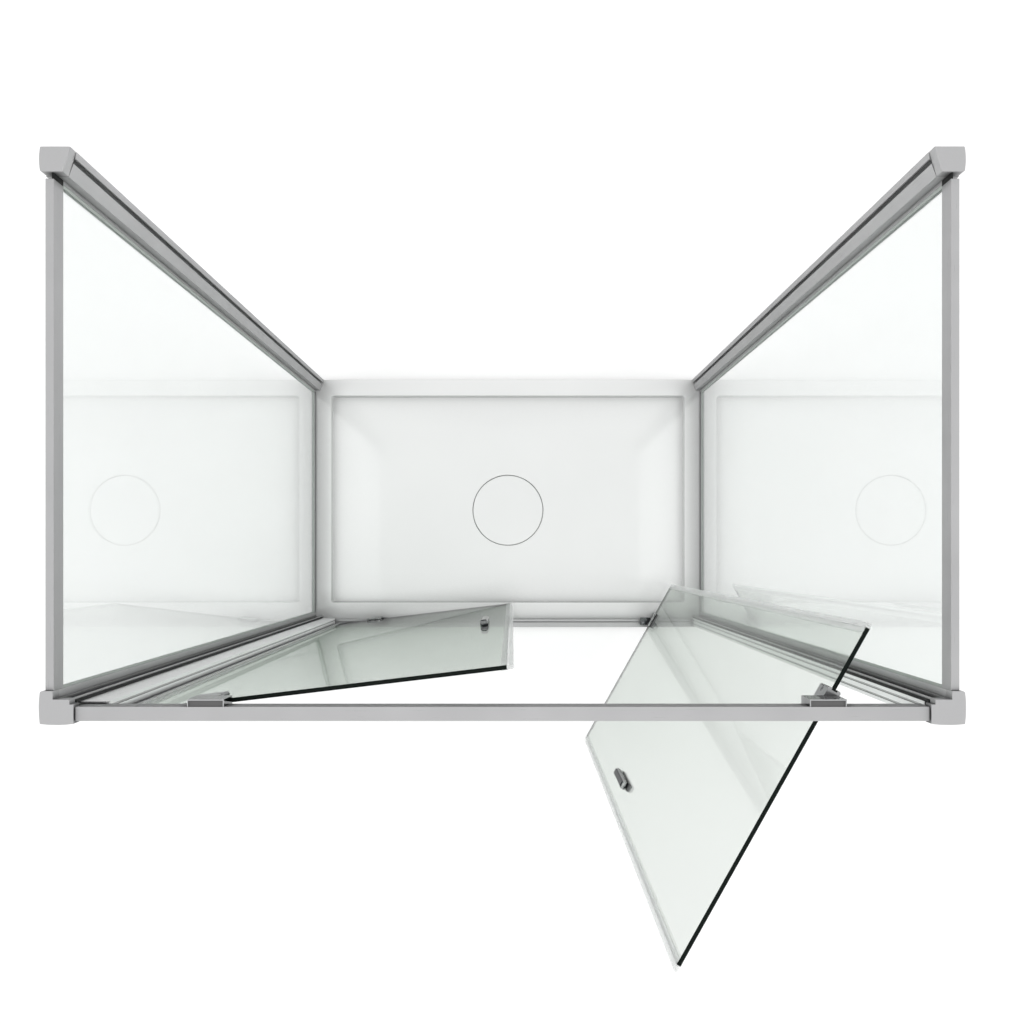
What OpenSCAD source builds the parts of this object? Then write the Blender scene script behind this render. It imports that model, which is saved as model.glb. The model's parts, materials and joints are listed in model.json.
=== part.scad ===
// Three-sided shower enclosure on its own tray: two fixed side panels in an aluminium
// frame that is open towards the wall, and two pivot doors across the front.
// Millimetres, +Z up. The origin is on the waste's axis at the underside of the tray,
// X runs to the right as seen from the doors, and +Y points at the wall.

/* [Tray] */
// Width of the tray and of the whole enclosure
tray_w = 1200; // [1100:10:1400]
// Depth of the tray, from the wall to its front edge
tray_d = 750; // [700:10:900]
// Height of the tray's rim above the floor
tray_h = 45; // [40:1:70]
// Radius of the tray's outer corners
tray_corner_r = 6; // [2:1:14]
// Width of the rim under each side panel
rim_side = 64; // [58:1:80]
// Width of the rim along the wall
rim_back = 48; // [44:1:70]
// Width of the rim under the doors
rim_front = 74; // [66:1:90]
// Radius of the basin's corners at the rim
basin_corner_r = 8; // [4:1:30]
// Drop from the rim to the edge of the basin's floor
basin_drop = 18; // [12:1:20]
// How far the basin's wall leans inwards over that drop
basin_lean = 4; // [3:1:24]
// Fall of the floor from its edge to the waste
floor_fall = 4; // [2:0.5:5]
// Distance of the waste's axis in front of the tray's middle
waste_forward = 20; // [0:5:60]

/* [Waste] */
// Diameter of the outlet hole through the tray
waste_hole_d = 90; // [60:1:100]
// Diameter of the cover
cover_d = 212; // [180:1:240]
// Thickness of the cover at its edge
cover_t = 4.5; // [3:0.5:6]
// Rise of the cover's middle above its edge
cover_crown = 1.5; // [0.5:0.5:3]
// Gap between the cover and its recess
cover_gap = 2; // [1:0.5:4]
// Width of the level ring of floor round the recess
recess_land = 1; // [0.5:0.5:4]
// Gap between the cover's feet and the bottom of the recess
cover_lift = 0.3; // [0.2:0.1:0.5]
// Height of the space for water under the cover
cover_space = 5.5; // [5:0.5:7]
// Diameter of each of the cover's feet
cover_foot_d = 10; // [6:1:14]
// Number of feet under the cover
cover_feet = 4; // [3:1:6]
// Width of the waste flange's ring beyond the outlet hole
flange_overlap = 12; // [6:1:20]
// Thickness of the waste flange
flange_t = 2; // [1.5:0.5:2.5]
// Diameter of the waste flange's own opening
flange_bore_d = 76; // [50:1:84]
// Thickness of the hair strainer
strainer_t = 1.5; // [1:0.5:2]
// How far the strainer lies over the flange
strainer_overlap = 3; // [2:0.5:5]
// Radius of the ring of strainer holes
strainer_ring_r = 25; // [22:1:28]
// Diameter of each hole in the strainer
strainer_hole_d = 8; // [5:0.5:10]
// Number of holes round the strainer
strainer_holes = 10; // [6:1:12]

/* [Frame] */
// Height of the frame above the tray's rim
frame_h = 1850; // [1700:10:2000]
// Height of the corner caps
cap_h = 19; // [14:1:24]
// Bulge of the caps' outer faces
cap_bulge = 1.5; // [0.5:0.5:2.5]
// Radius of the caps' outer corners
cap_corner_r = 5; // [2:0.5:8]
// Length of the pegs that hold the caps in the profiles
cap_peg_h = 15; // [8:1:20]
// Gap round each peg
peg_gap = 0.3; // [0.2:0.1:0.6]
// Wall of the aluminium profiles
profile_wall = 2; // [1.5:0.1:2.4]
// Radius of the posts' edges
profile_edge_r = 0.8; // [0.4:0.1:1.2]
// Inset of the upright profiles from the tray's side edge
upright_inset = 2; // [1:0.5:3]

/* [Side panels] */
// Thickness of the side glass
side_glass_t = 6; // [5:0.5:8]
// Inset of the side glass from the tray's side edge
side_glass_inset = 10; // [9:0.5:12]
// Thickness of the seal on each face of the side glass
glazing_gap = 0.9; // [0.6:0.1:1.4]
// Thickness of the lips that hold the side glass
glazing_lip = 1.5; // [1.2:0.1:2]
// Width of the seal's bead that shows beside the front post
front_bead = 3; // [2:0.5:5]
// Width of the seal's bead that shows beside the rear stile
rear_bead = 4.5; // [2:0.5:6]
// Height of the seal's bead that shows on the bottom rail
bottom_bead = 3; // [2:0.5:5]
// Proud height of each bead off the glass
bead_t = 2; // [1.5:0.1:2.6]
// Height of the side top rails
side_rail_h = 30; // [26:1:40]
// Step from the top of the caps down to the side top rails
side_rail_step = 3.5; // [2:0.5:5]
// Height of the side bottom rails
bottom_rail_h = 25; // [20:1:35]
// Depth of glass held by the bottom rails
rail_bite = 18; // [14:1:19]
// Gap past each edge of the side glass in its slots
glass_end_gap = 1.5; // [1:0.5:2.5]
// Length of the dark closing strip at the rear end of each top rail
rail_end_strip = 7.8; // [6:0.2:10]

/* [Wall profiles and rear stiles] */
// Width of the wall profile along the wall
wall_profile_w = 39.4; // [36:0.2:44]
// Depth of the wall profile's side lips
wall_lip = 10; // [6:1:14]
// Reach of the wall profile's legs into the rear stile
wall_leg = 27; // [22:1:29]
// Thickness of the wall profile's legs
wall_leg_t = 2; // [1.5:0.1:2.5]
// Thickness of the wall profile's back
wall_back_t = 2.5; // [2:0.1:4]
// Distance of the rear stile's back from the wall
stile_back = 16; // [15:0.5:20]
// Distance of the rear stile's front from the wall
stile_front = 32.7; // [31.5:0.1:36]
// Width of the rear stile at its back
stile_back_w = 36; // [34:0.5:38]
// Width of the rear stile at its front
stile_front_w = 29.5; // [28.5:0.5:33]
// Width of the hollow in the rear stile
stile_hollow_w = 26; // [24:0.5:27]
// Depth of the rear glazing pocket
rear_pocket = 5.3; // [4.5:0.1:6]
// Diameter of the wall fixing holes
wall_hole_d = 5.5; // [4:0.5:7]
// Spacing of the wall fixing holes
wall_hole_pitch = 800; // [700:10:820]
// Number of wall fixing holes in each profile
wall_holes = 3; // [2:1:3]

/* [Front posts and jambs] */
// Distance of the posts' front face from the tray's front edge
post_front = 3.5; // [3:0.5:6]
// Width of the front posts
post_w = 38; // [36:0.5:42]
// Distance of the posts' back face from the tray's front edge
post_back = 34.6; // [33:0.2:38]
// Depth of the front glazing pocket behind the posts' back face
front_pocket = 11; // [9:0.5:14]
// Depth of the open channel in the posts' back face
post_channel = 12; // [9:0.5:13]
// Recess of the dark strip in the posts' channel
channel_strip_in = 5; // [1:0.5:8]
// Depth of the rebate that takes a jamb
jamb_rebate = 2; // [1.5:0.1:2.5]
// Distance of the jambs' back face from the tray's front edge
jamb_back = 28.2; // [27.2:0.2:30]
// Distance of the jambs' front face from the tray's front edge
jamb_front = 5; // [4:0.5:7]
// How far the left jamb stands out of its post
left_jamb_out = 41; // [30:1:60]
// How far the right jamb stands out of its post
right_jamb_out = 3.5; // [3:0.5:12]
// Depth of the grooves along the jambs
jamb_groove_depth = 1.6; // [1:0.1:2]
// Width of the jambs' back groove
jamb_back_groove = 3; // [2:0.5:4]
// Width of the jambs' front groove
jamb_front_groove = 3; // [2:0.5:4]
// Step from the jambs' back face to their back groove
jamb_back_land = 5; // [3:0.5:7]
// Step from the jambs' front face to their front groove
jamb_front_land = 5; // [3:0.5:7]
// How far the front caps pass the posts' inner face
cap_overhang = 5.2; // [3:0.2:7]
// How far the front caps stand out at the front
cap_front_out = 1.8; // [1:0.1:2.8]

/* [Front rail and threshold] */
// Height of the front top rail
front_rail_h = 30; // [26:1:40]
// Distance of the front top rail's outer face from the tray's front edge
front_rail_front = 6.4; // [6:0.2:9]
// Depth of the front top rail, from its outer face to its inner face
front_rail_d = 18.4; // [18:0.2:24]
// Step from the top of the caps down to the front top rail
front_rail_step = 3; // [2:0.5:5]
// Gap between the front top rail's ends and the caps
front_rail_gap = 1.5; // [1:0.5:3]
// Length of each connector inside the front top rail
connector_l = 45; // [30:1:60]
// Gap round the connectors in the front top rail
connector_gap = 0.3; // [0.2:0.1:0.6]
// Height of the threshold above the tray's rim
threshold_h = 18; // [14:1:26]
// Distance of the threshold's outer face from the tray's front edge
threshold_front = 2.8; // [2:0.2:5]
// Depth of the threshold, from its outer face to its inner face
threshold_d = 22; // [20:0.5:26]
// Width of the threshold's inner rib
threshold_rib = 6; // [4:0.5:8]
// Width of the threshold's groove
threshold_groove = 3.4; // [2:0.2:4]
// Depth of the threshold's groove
threshold_groove_depth = 5; // [3:0.5:8]

/* [Doors] */
// How far the left door is turned from closed, positive to swing its free end inwards
left_open = 6.8; // [-90:0.1:90]
// How far the right door is turned from closed, positive to swing its free end outwards
right_open = 60.7; // [-90:0.1:90]
// Thickness of the door glass
door_glass_t = 6; // [5:0.5:8]
// Distance of the pivots from the tray's front edge
pivot_in = 23; // [20:0.5:24]
// Reach of each door from its pivot to the jamb, with its seal
short_reach = 123.2; // [100:1:150]
// Gap between the jambs and the doors
jamb_gap = 1.8; // [1.2:0.1:3]
// Gap between the two doors' seals when both are closed
meeting_gap = 1.5; // [1:0.1:3]
// Gap between the door's clamps and the brackets
swing_gap = 0.7; // [0.5:0.1:1.5]
// Depth of the doors' seals past the glass at their free edges
meeting_fin = 10; // [7:0.5:13]
// Depth of the doors' seals past the glass at their jamb edges
jamb_fin = 8; // [6:0.5:10]
// Depth of the seals' legs on the glass
seal_leg = 8; // [6:0.5:10]
// Thickness of the seals' walls
seal_wall = 1; // [0.8:0.1:1.4]
// Thickness of the seals' fins
seal_fin_t = 6; // [5:0.5:8]
// Shortfall of the seals at the top and bottom of the glass
seal_short = 2; // [1:0.5:4]

/* [Pivots] */
// Width of the brackets
bracket_w = 48; // [44:1:54]
// Height of the top brackets' feet under the rail
top_bracket_h = 12; // [10:0.5:16]
// Height of the bottom brackets on the threshold
bottom_bracket_h = 8; // [7:0.5:11]
// Distance from the pivots to the brackets' middle, towards the middle of the front
bracket_shift = 11; // [0:0.5:12]
// How far the bottom brackets stand out from the threshold's inner face
bracket_proud = 5.5; // [3:0.5:6]
// How far the top brackets stand out from the rail's inner face
top_bracket_proud = 9.5; // [8:0.5:11]
// Drop of the top brackets' rims from the rail's top
bracket_drop = 0.5; // [0:0.5:4]
// Thickness of the rims round the top brackets' pockets
bracket_rim = 1.7; // [1.2:0.1:2.2]
// Depth of the pockets in the top brackets
bracket_pocket = 14; // [6:1:20]
// Depth of the brackets under the rail
bracket_under = 16; // [14:0.5:18]
// Diameter of the pivot pins
pin_d = 8; // [6:0.5:8]
// Depth of the pins in the brackets
pin_seat = 6; // [4:0.5:6.5]
// Length of the pins in the bushes
pin_reach = 17; // [12:0.5:18]
// Radial clearance of the pins in the bushes
pin_clearance = 0.05; // [0.02:0.01:0.1]
// Outer diameter of the bushes
bush_d = 12; // [11:0.5:12.5]
// Length of the bushes
bush_l = 20; // [19:0.5:21]
// How far the bushes stand out of the clamps
bush_out = 0.3; // [0.1:0.1:0.3]
// Length of the clamps along the glass
clamp_l = 44; // [42:1:52]
// Height of the clamps
clamp_h = 38; // [36:1:44]
// Thickness of each half of a clamp beyond its pad
clamp_plate_t = 5.5; // [5:0.5:7]
// Radius of the clamps' outer edges
clamp_edge_r = 3; // [2:0.5:4]
// How far the clamps stand past the edge of the glass
clamp_past = 6; // [4.5:0.5:8]
// Thickness of the pads between clamp and glass
pad_t = 1; // [0.6:0.1:1.5]
// Inset of the pads and the handles' washers from the edges of the metal
pad_inset = 1; // [0.5:0.5:2]
// Width of the notch in the glass
notch_w = 20; // [18:1:22]
// Depth of the notch in the glass
notch_h = 24; // [22:1:26]
// Gap between a clamp's stem and the notch
notch_gap = 1; // [0.5:0.1:1.5]
// Distance of the clamp screws from the pivot
clamp_screw_x = 15.5; // [15:0.5:16]
// Distance of the clamp screws from the edge of the glass
clamp_screw_z = 15; // [12:1:20]
// Diameter of the clamp screws' holes in the glass
glass_hole_d = 7; // [6:0.5:8]

/* [Handles] */
// Height of the handles' middle above the tray's rim
handle_z = 848; // [600:1:1200]
// Distance of the handles' middle from the free edge of the glass
handle_in = 53; // [40:1:90]
// Height of the handles
handle_h = 145; // [80:1:160]
// Width of the handles
handle_w = 17; // [12:1:24]
// Thickness of each handle
handle_t = 11.7; // [9:0.1:14]
// Slope cut off the handles' edges and ends
handle_chamfer = 4; // [2:0.5:5]
// Distance between the two handle studs
stud_pitch = 60; // [40:1:64]
// Diameter of the handle studs
stud_d = 6; // [4:0.5:6]
// Depth of the studs in each handle
stud_bite = 6; // [4:0.5:7]
// Thickness of the washers between handle and glass
washer_t = 0.8; // [0.5:0.1:1.5]
// Diameter of the handle holes in the glass
stud_hole_d = 10; // [8:0.5:12]

/* [Screws] */
// Diameter of the frame and bracket screws
screw_d = 4; // [3:0.5:4.5]
// Diameter of the screws' heads
screw_head_d = 7.5; // [6:0.5:8]
// Height of the screws' heads
screw_head_h = 2.4; // [2:0.1:3]
// Diameter of the clamp screws
clamp_screw_d = 5; // [4:0.5:5]
// Diameter of the clamp screws' heads
clamp_head_d = 8; // [7:0.5:9]
// Height of the clamp screws' heads
clamp_head_h = 2.6; // [2:0.1:3]
// Width of the socket in the clamp screws' heads
clamp_socket_d = 3; // [2:0.5:3.5]
// Gap round the screws' heads and shanks
screw_gap = 0.25; // [0.1:0.05:0.5]
// Distance of the bracket screws from the brackets' middle
bracket_screw_x = 18; // [16:0.5:19]
// Length of the bracket screws in the rail or threshold
bracket_screw_bite = 9; // [6:0.5:12]
// Distance of the outermost frame screws from the frame's ends
frame_screw_end = 250; // [100:10:400]
// Number of frame screws in each rear stile
frame_screws_n = 3; // [2:1:5]

/* [Hidden] */
$fn = 48;

// Colours of the view
metal = [0.75, 0.75, 0.75];
polished = [0.62, 0.63, 0.64];
dark_rubber = [0.25, 0.26, 0.26];
clear_seal = [0.86, 0.88, 0.88, 0.6];
side_glass_colour = [0.93, 0.96, 0.95, 0.3];
door_glass_colour = [0.72, 0.82, 0.77, 0.4];
white_gloss = [0.94, 0.94, 0.94];
nylon = [0.9, 0.9, 0.88];

// Overlap of a cut past the face it opens through
cut = 1;
// Thickness of the slices that a hull joins
slice = 0.1;
// Steps of the cover's crown from its middle to its edge
crown_steps = 12;

// Main planes
half_w = tray_w / 2;
wall_y = tray_d / 2 + waste_forward;
front_y = wall_y - tray_d;
rim_z = tray_h;
top_z = rim_z + frame_h;
cap_z = top_z - cap_h;

// Glazing: places of the side glass and its slot, as insets from the tray's side edge
slot_out = side_glass_inset - glazing_gap;
glass_in = side_glass_inset + side_glass_t;
slot_in = glass_in + glazing_gap;
pocket_w = slot_in + glazing_lip;

// Side rails
side_rail_z1 = top_z - side_rail_step;
side_rail_z0 = side_rail_z1 - side_rail_h;
bottom_rail_z1 = rim_z + bottom_rail_h;
rail_out = slot_out - glazing_lip;
front_pocket_d = post_back + front_pocket;
rear_pocket_d = stile_front + rear_pocket;
top_rail_rear = stile_front + rail_end_strip;
side_glass_z0 = bottom_rail_z1 - rail_bite;
side_glass_z1 = cap_z - glass_end_gap;
side_glass_front = post_back + glass_end_gap + profile_wall;
side_glass_rear = stile_front + glass_end_gap;

// Front: the posts' inner faces, the rail and the threshold
post_in = upright_inset + post_w;
rebate_in = post_in - jamb_rebate;
cap_in = post_in + cap_overhang;
rail_half_l = half_w - cap_in - front_rail_gap;
front_rail_z1 = top_z - front_rail_step;
front_rail_z0 = front_rail_z1 - front_rail_h;
front_rail_back = front_rail_front + front_rail_d;
threshold_z1 = rim_z + threshold_h;

// Doors: pivots, reaches and heights
left_jamb_x = -(half_w - rebate_in) + left_jamb_out;
right_jamb_x = half_w - rebate_in - right_jamb_out;
left_pivot_x = left_jamb_x + jamb_gap + short_reach;
right_pivot_x = right_jamb_x - jamb_gap - short_reach;
pivot_y = front_y + pivot_in;
long_reach = (right_pivot_x - left_pivot_x - meeting_gap) / 2;
long_glass = long_reach - meeting_fin;
short_glass = short_reach - jamb_fin;
top_bracket_z = front_rail_z0 - top_bracket_h;
bottom_bracket_z = threshold_z1 + bottom_bracket_h;
clamp_top_z = top_bracket_z - swing_gap;
clamp_bottom_z = bottom_bracket_z + swing_gap;
door_z0 = clamp_bottom_z + clamp_past;
door_z1 = clamp_top_z - clamp_past;
door_half_t = door_glass_t / 2;
clamp_in = door_half_t + pad_t;
clamp_out = clamp_in + clamp_plate_t;
stem_w = notch_w - 2 * notch_gap;
bracket_screw_y = front_y + front_rail_back - bracket_under / 2;
handle_x = long_glass - handle_in;
handle_mid_z = rim_z + handle_z;

// Waste levels
floor_edge_z = rim_z - basin_drop;
floor_low_z = floor_edge_z - floor_fall;
recess_z = floor_low_z - cover_t - cover_space;
recess_r = cover_d / 2 + cover_gap;
flange_r = waste_hole_d / 2 + flange_overlap;
strainer_r = flange_bore_d / 2 + strainer_overlap;
foot_ring = (flange_r + cover_d / 2) / 2;

// A box between two corners
module block(a, b) {
    translate(a)
        cube(b - a);
}

// A flat rectangle between two corners
module plate(a, b) {
    translate(a)
        square(b - a);
}

// A flat rectangle with round corners, made of true arcs
module rounded_plate(a, b, r) {
    plate([a[0] + r, a[1]], [b[0] - r, b[1]]);
    plate([a[0], a[1] + r], [b[0], b[1] - r]);
    for (x = [a[0] + r, b[0] - r], y = [a[1] + r, b[1] - r])
        translate([x, y])
            circle(r);
}

// An upright extrusion between two heights
module upright(z0, z1) {
    translate([0, 0, z0])
        linear_extrude(z1 - z0)
            children();
}

// Right half as drawn, or mirrored to the left
module on_side(side) {
    mirror([side == "left" ? 1 : 0, 0, 0])
        children();
}

// Plan rectangle on the right side, by insets from the tray's side edge (i)
// and distances from its front edge (f)
module front_plan(i0, i1, f0, f1) {
    plate([half_w - i1, front_y + f0], [half_w - i0, front_y + f1]);
}

// Plan rectangle on the right side, by insets from the tray's side edge (i)
// and distances from the wall (w)
module wall_plan(i0, i1, w0, w1) {
    plate([half_w - i1, wall_y - w1], [half_w - i0, wall_y - w0]);
}

// Tray with its basin, the recess of the cover and the outlet
module tray() {
    basin_a = [-half_w + rim_side, front_y + rim_front];
    basin_b = [half_w - rim_side, wall_y - rim_back];
    lean = [basin_lean, basin_lean];
    color(white_gloss)
        difference() {
            upright(0, rim_z)
                rounded_plate([-half_w, front_y], [half_w, wall_y], tray_corner_r);
            hull() {
                upright(rim_z, rim_z + cut)
                    rounded_plate(basin_a, basin_b, basin_corner_r);
                upright(floor_edge_z, floor_edge_z + slice)
                    rounded_plate(basin_a + lean, basin_b - lean, basin_corner_r);
            }
            hull() {
                upright(floor_edge_z, floor_edge_z + slice)
                    rounded_plate(basin_a + lean, basin_b - lean, basin_corner_r);
                upright(floor_low_z, floor_edge_z)
                    circle(recess_r + recess_land);
            }
            upright(recess_z, rim_z)
                circle(recess_r);
            upright(-cut, rim_z)
                circle(waste_hole_d / 2);
        }
}

// Ring that is clamped over the outlet from above
module waste_flange() {
    color(polished)
        upright(recess_z, recess_z + flange_t)
            difference() {
                circle(flange_r);
                circle(flange_bore_d / 2);
            }
}

// Flat strainer that lies on the flange
module waste_strainer() {
    color(polished)
        upright(recess_z + flange_t, recess_z + flange_t + strainer_t)
            difference() {
                circle(strainer_r);
                circle(strainer_hole_d / 2);
                for (i = [0 : strainer_holes - 1])
                    rotate(i * 360 / strainer_holes)
                        translate([strainer_ring_r, 0])
                            circle(strainer_hole_d / 2);
            }
}

// Round cover, crowned a little, on feet that stand in the recess
module waste_cover() {
    z0 = recess_z + cover_space;
    r = cover_d / 2;
    crown_r = (r * r + cover_crown * cover_crown) / (2 * cover_crown);
    rim_top = z0 + cover_t;
    color(white_gloss) {
        rotate_extrude($fn = 96)
            polygon(concat(
                [[0, z0], [r, z0]],
                [for (i = [crown_steps : -1 : 0])
                    let (x = r * i / crown_steps)
                    [x, rim_top + sqrt(crown_r * crown_r - x * x) - crown_r + cover_crown]]
            ));
        for (i = [0 : cover_feet - 1])
            rotate(i * 360 / cover_feet)
                translate([foot_ring, 0])
                    upright(recess_z + cover_lift, z0 + cover_t / 2)
                        circle(d = cover_foot_d);
    }
}

// Wall profile: back, two side lips, and two legs that slide in the rear stile
module wall_profile(side) {
    i0 = upright_inset;
    i1 = i0 + wall_profile_w;
    leg_a = i0 + profile_wall + peg_gap;
    leg_b = i0 + profile_wall + stile_hollow_w - peg_gap - wall_leg_t;
    color(metal)
        on_side(side)
            difference() {
                upright(rim_z, cap_z) {
                    wall_plan(i0, i1, 0, wall_back_t);
                    wall_plan(i0, i0 + profile_wall, 0, wall_lip);
                    wall_plan(i1 - profile_wall, i1, 0, wall_lip);
                    for (i = [leg_a, leg_b])
                        wall_plan(i, i + wall_leg_t, 0, wall_leg);
                }
                for (k = [0 : wall_holes - 1])
                    translate([
                        half_w - (leg_a + leg_b + wall_leg_t) / 2,
                        wall_y + cut,
                        (rim_z + cap_z) / 2 + (k - (wall_holes - 1) / 2) * wall_hole_pitch
                    ])
                        rotate([90, 0, 0])
                            cylinder(h = wall_back_t + 2 * cut, d = wall_hole_d);
            }
}

// Plan of the rear stile without its glazing pocket
module stile_outline() {
    polygon([
        [half_w - upright_inset, wall_y - stile_back],
        [half_w - upright_inset, wall_y - stile_front],
        [half_w - upright_inset - stile_front_w, wall_y - stile_front],
        [half_w - upright_inset - stile_back_w, wall_y - stile_back]
    ]);
}

// Plan of the hollow that takes the wall profile's legs
module stile_hollow(gap) {
    i0 = upright_inset + profile_wall;
    wall_plan(i0 + gap, i0 + stile_hollow_w - gap, stile_back - cut, stile_front - profile_wall - gap);
}

// Rear stile: hollow towards the wall, with the pocket for the side glass
module rear_stile(side) {
    color(metal)
        on_side(side)
            difference() {
                union() {
                    upright(rim_z, cap_z)
                        stile_outline();
                    upright(rim_z, side_rail_z0)
                        wall_plan(upright_inset, pocket_w, stile_front - cut, rear_pocket_d);
                }
                upright(rim_z - cut, cap_z + cut)
                    stile_hollow(0);
                upright(rim_z - cut, cap_z + cut)
                    wall_plan(slot_out, slot_in, stile_front, rear_pocket_d + cut);
                frame_screw_places()
                    cylinder(h = 2 * profile_wall + cut, d = screw_d, center = true);
            }
}

// Rear corner cap with two pegs between the wall profile's legs
module rear_cap(side) {
    outer = upright_inset - cap_bulge;
    bulge_half = stile_front / 2;
    bulge_r = (bulge_half * bulge_half + cap_bulge * cap_bulge) / (2 * cap_bulge);
    peg_i0 = upright_inset + profile_wall + wall_leg_t + 2 * peg_gap;
    peg_i1 = upright_inset + profile_wall + stile_hollow_w - wall_leg_t - 2 * peg_gap;
    color(metal)
        on_side(side) {
            upright(cap_z, top_z)
                intersection() {
                    polygon([
                        [half_w, wall_y],
                        [half_w, wall_y - stile_front],
                        [half_w - upright_inset - stile_front_w, wall_y - stile_front],
                        [half_w - upright_inset - wall_profile_w, wall_y]
                    ]);
                    translate([half_w - outer - bulge_r, wall_y - bulge_half])
                        circle(bulge_r, $fn = 360);
                    rounded_plate(
                        [half_w - outer - 2 * wall_profile_w, wall_y - stile_front],
                        [half_w - outer, wall_y + 2 * cap_corner_r],
                        cap_corner_r
                    );
                }
            upright(cap_z - cap_peg_h, cap_z + cut)
                wall_plan(peg_i0, peg_i1, wall_back_t + peg_gap, stile_front - profile_wall - peg_gap);
        }
}

// Fixed side glass
module side_glass(side) {
    color(side_glass_colour)
        on_side(side)
            block(
                [half_w - glass_in, front_y + side_glass_front, side_glass_z0],
                [half_w - side_glass_inset, wall_y - side_glass_rear, side_glass_z1]
            );
}

// Side top rail, slotted from below
module side_top_rail(side) {
    color(metal)
        on_side(side)
            difference() {
                upright(side_rail_z0, side_rail_z1)
                    side_rail_plan(rail_out, pocket_w, front_pocket_d, top_rail_rear);
                upright(side_rail_z0 - cut, side_glass_z1 + glass_end_gap)
                    side_rail_plan(slot_out, slot_in, front_pocket_d - cut, top_rail_rear - cut);
            }
}

// Side bottom rail, slotted from above
module side_bottom_rail(side) {
    color(metal)
        on_side(side)
            difference() {
                upright(rim_z, bottom_rail_z1)
                    side_rail_plan(rail_out, pocket_w, front_pocket_d, rear_pocket_d);
                upright(side_glass_z0 - glass_end_gap, bottom_rail_z1 + cut)
                    side_rail_plan(slot_out, slot_in, front_pocket_d - cut, rear_pocket_d - cut);
            }
}

// Plan of a side rail between a distance from the front edge and one from the wall
module side_rail_plan(i0, i1, front, rear) {
    plate([half_w - i1, front_y + front], [half_w - i0, wall_y - rear]);
}

// Seals of one side glass, the strip in the post's channel and the rail's closing strip
module glazing_seals(side) {
    bead_in = glass_in + bead_t;
    color(dark_rubber)
        on_side(side) {
            upright(bottom_rail_z1 + bottom_bead, side_rail_z0) {
                front_plan(glass_in, slot_in, side_glass_front, front_pocket_d);
                front_plan(glass_in, bead_in, front_pocket_d, front_pocket_d + front_bead);
            }
            upright(bottom_rail_z1 + bottom_bead, side_rail_z0)
                front_plan(slot_out, side_glass_inset, side_glass_front, front_pocket_d + front_bead);
            upright(bottom_rail_z1 + bottom_bead, side_rail_z0) {
                wall_plan(glass_in, slot_in, side_glass_rear, rear_pocket_d);
                wall_plan(glass_in, bead_in, rear_pocket_d, rear_pocket_d + rear_bead);
            }
            upright(bottom_rail_z1 + bottom_bead, side_rail_z0)
                wall_plan(slot_out, side_glass_inset, side_glass_rear, rear_pocket_d + rear_bead);
            upright(side_glass_z0, bottom_rail_z1)
                side_rail_plan(glass_in, slot_in, front_pocket_d, rear_pocket_d);
            upright(bottom_rail_z1, bottom_rail_z1 + bottom_bead)
                side_rail_plan(glass_in, bead_in, front_pocket_d, rear_pocket_d);
            upright(side_glass_z0, bottom_rail_z1 + bottom_bead)
                side_rail_plan(slot_out, side_glass_inset, front_pocket_d, rear_pocket_d);
            for (i = [[glass_in, slot_in], [slot_out, side_glass_inset]])
                upright(side_rail_z0, side_glass_z1)
                    side_rail_plan(i[0], i[1], front_pocket_d, top_rail_rear);
            upright(side_rail_z0, side_rail_z1)
                wall_plan(glass_in, pocket_w, stile_front, top_rail_rear);
            upright(threshold_z1, cap_z)
                post_channel_plan(channel_strip_in);
        }
}

// Plan of the open channel in a post's back face, from its bottom up to a recess
module post_channel_plan(recess) {
    front_plan(
        pocket_w + profile_wall,
        rebate_in - profile_wall,
        post_back - post_channel,
        post_back - recess
    );
}

// Plan of the hollow in a front post
module post_hollow(gap) {
    front_plan(
        upright_inset + profile_wall + gap,
        rebate_in - profile_wall - gap,
        post_front + profile_wall + gap,
        post_back - post_channel - profile_wall - gap
    );
}

// Front corner post: hollow body, open channel, rebate for the jamb and glazing pocket
module front_post(side) {
    color(metal)
        on_side(side)
            upright(rim_z, cap_z)
                difference() {
                    union() {
                        rounded_plate(
                            [half_w - post_in, front_y + post_front],
                            [half_w - upright_inset, front_y + post_back],
                            profile_edge_r
                        );
                        front_plan(upright_inset, pocket_w, post_back - cut, front_pocket_d);
                    }
                    front_plan(rebate_in, post_in + cut, post_front - cut, jamb_back);
                    post_hollow(0);
                    post_channel_plan(-cut);
                    front_plan(slot_out, slot_in, side_glass_front - glass_end_gap, front_pocket_d + cut);
                }
}

// Front corner cap with a peg in the post's hollow
module front_cap(side) {
    outer = upright_inset - cap_bulge;
    front = post_front - cap_front_out;
    side_half = (front_pocket_d - front) / 2;
    side_r = (side_half * side_half + cap_bulge * cap_bulge) / (2 * cap_bulge);
    front_half = (cap_in - outer) / 2;
    front_r = (front_half * front_half + cap_bulge * cap_bulge) / (2 * cap_bulge);
    color(metal)
        on_side(side) {
            upright(cap_z, top_z)
                intersection() {
                    union() {
                        front_plan(outer, cap_in, front, jamb_back);
                        front_plan(outer, post_in, front, post_back);
                        front_plan(outer, pocket_w, front, front_pocket_d);
                    }
                    translate([half_w - outer - side_r, front_y + front + side_half])
                        circle(side_r, $fn = 360);
                    translate([half_w - outer - front_half, front_y + front + front_r])
                        circle(front_r, $fn = 360);
                    rounded_plate(
                        [half_w - cap_in - cap_corner_r, front_y + front],
                        [half_w - outer, front_y + front_pocket_d],
                        cap_corner_r
                    );
                }
            upright(cap_z - cap_peg_h, cap_z + cut)
                post_hollow(peg_gap);
        }
}

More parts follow.
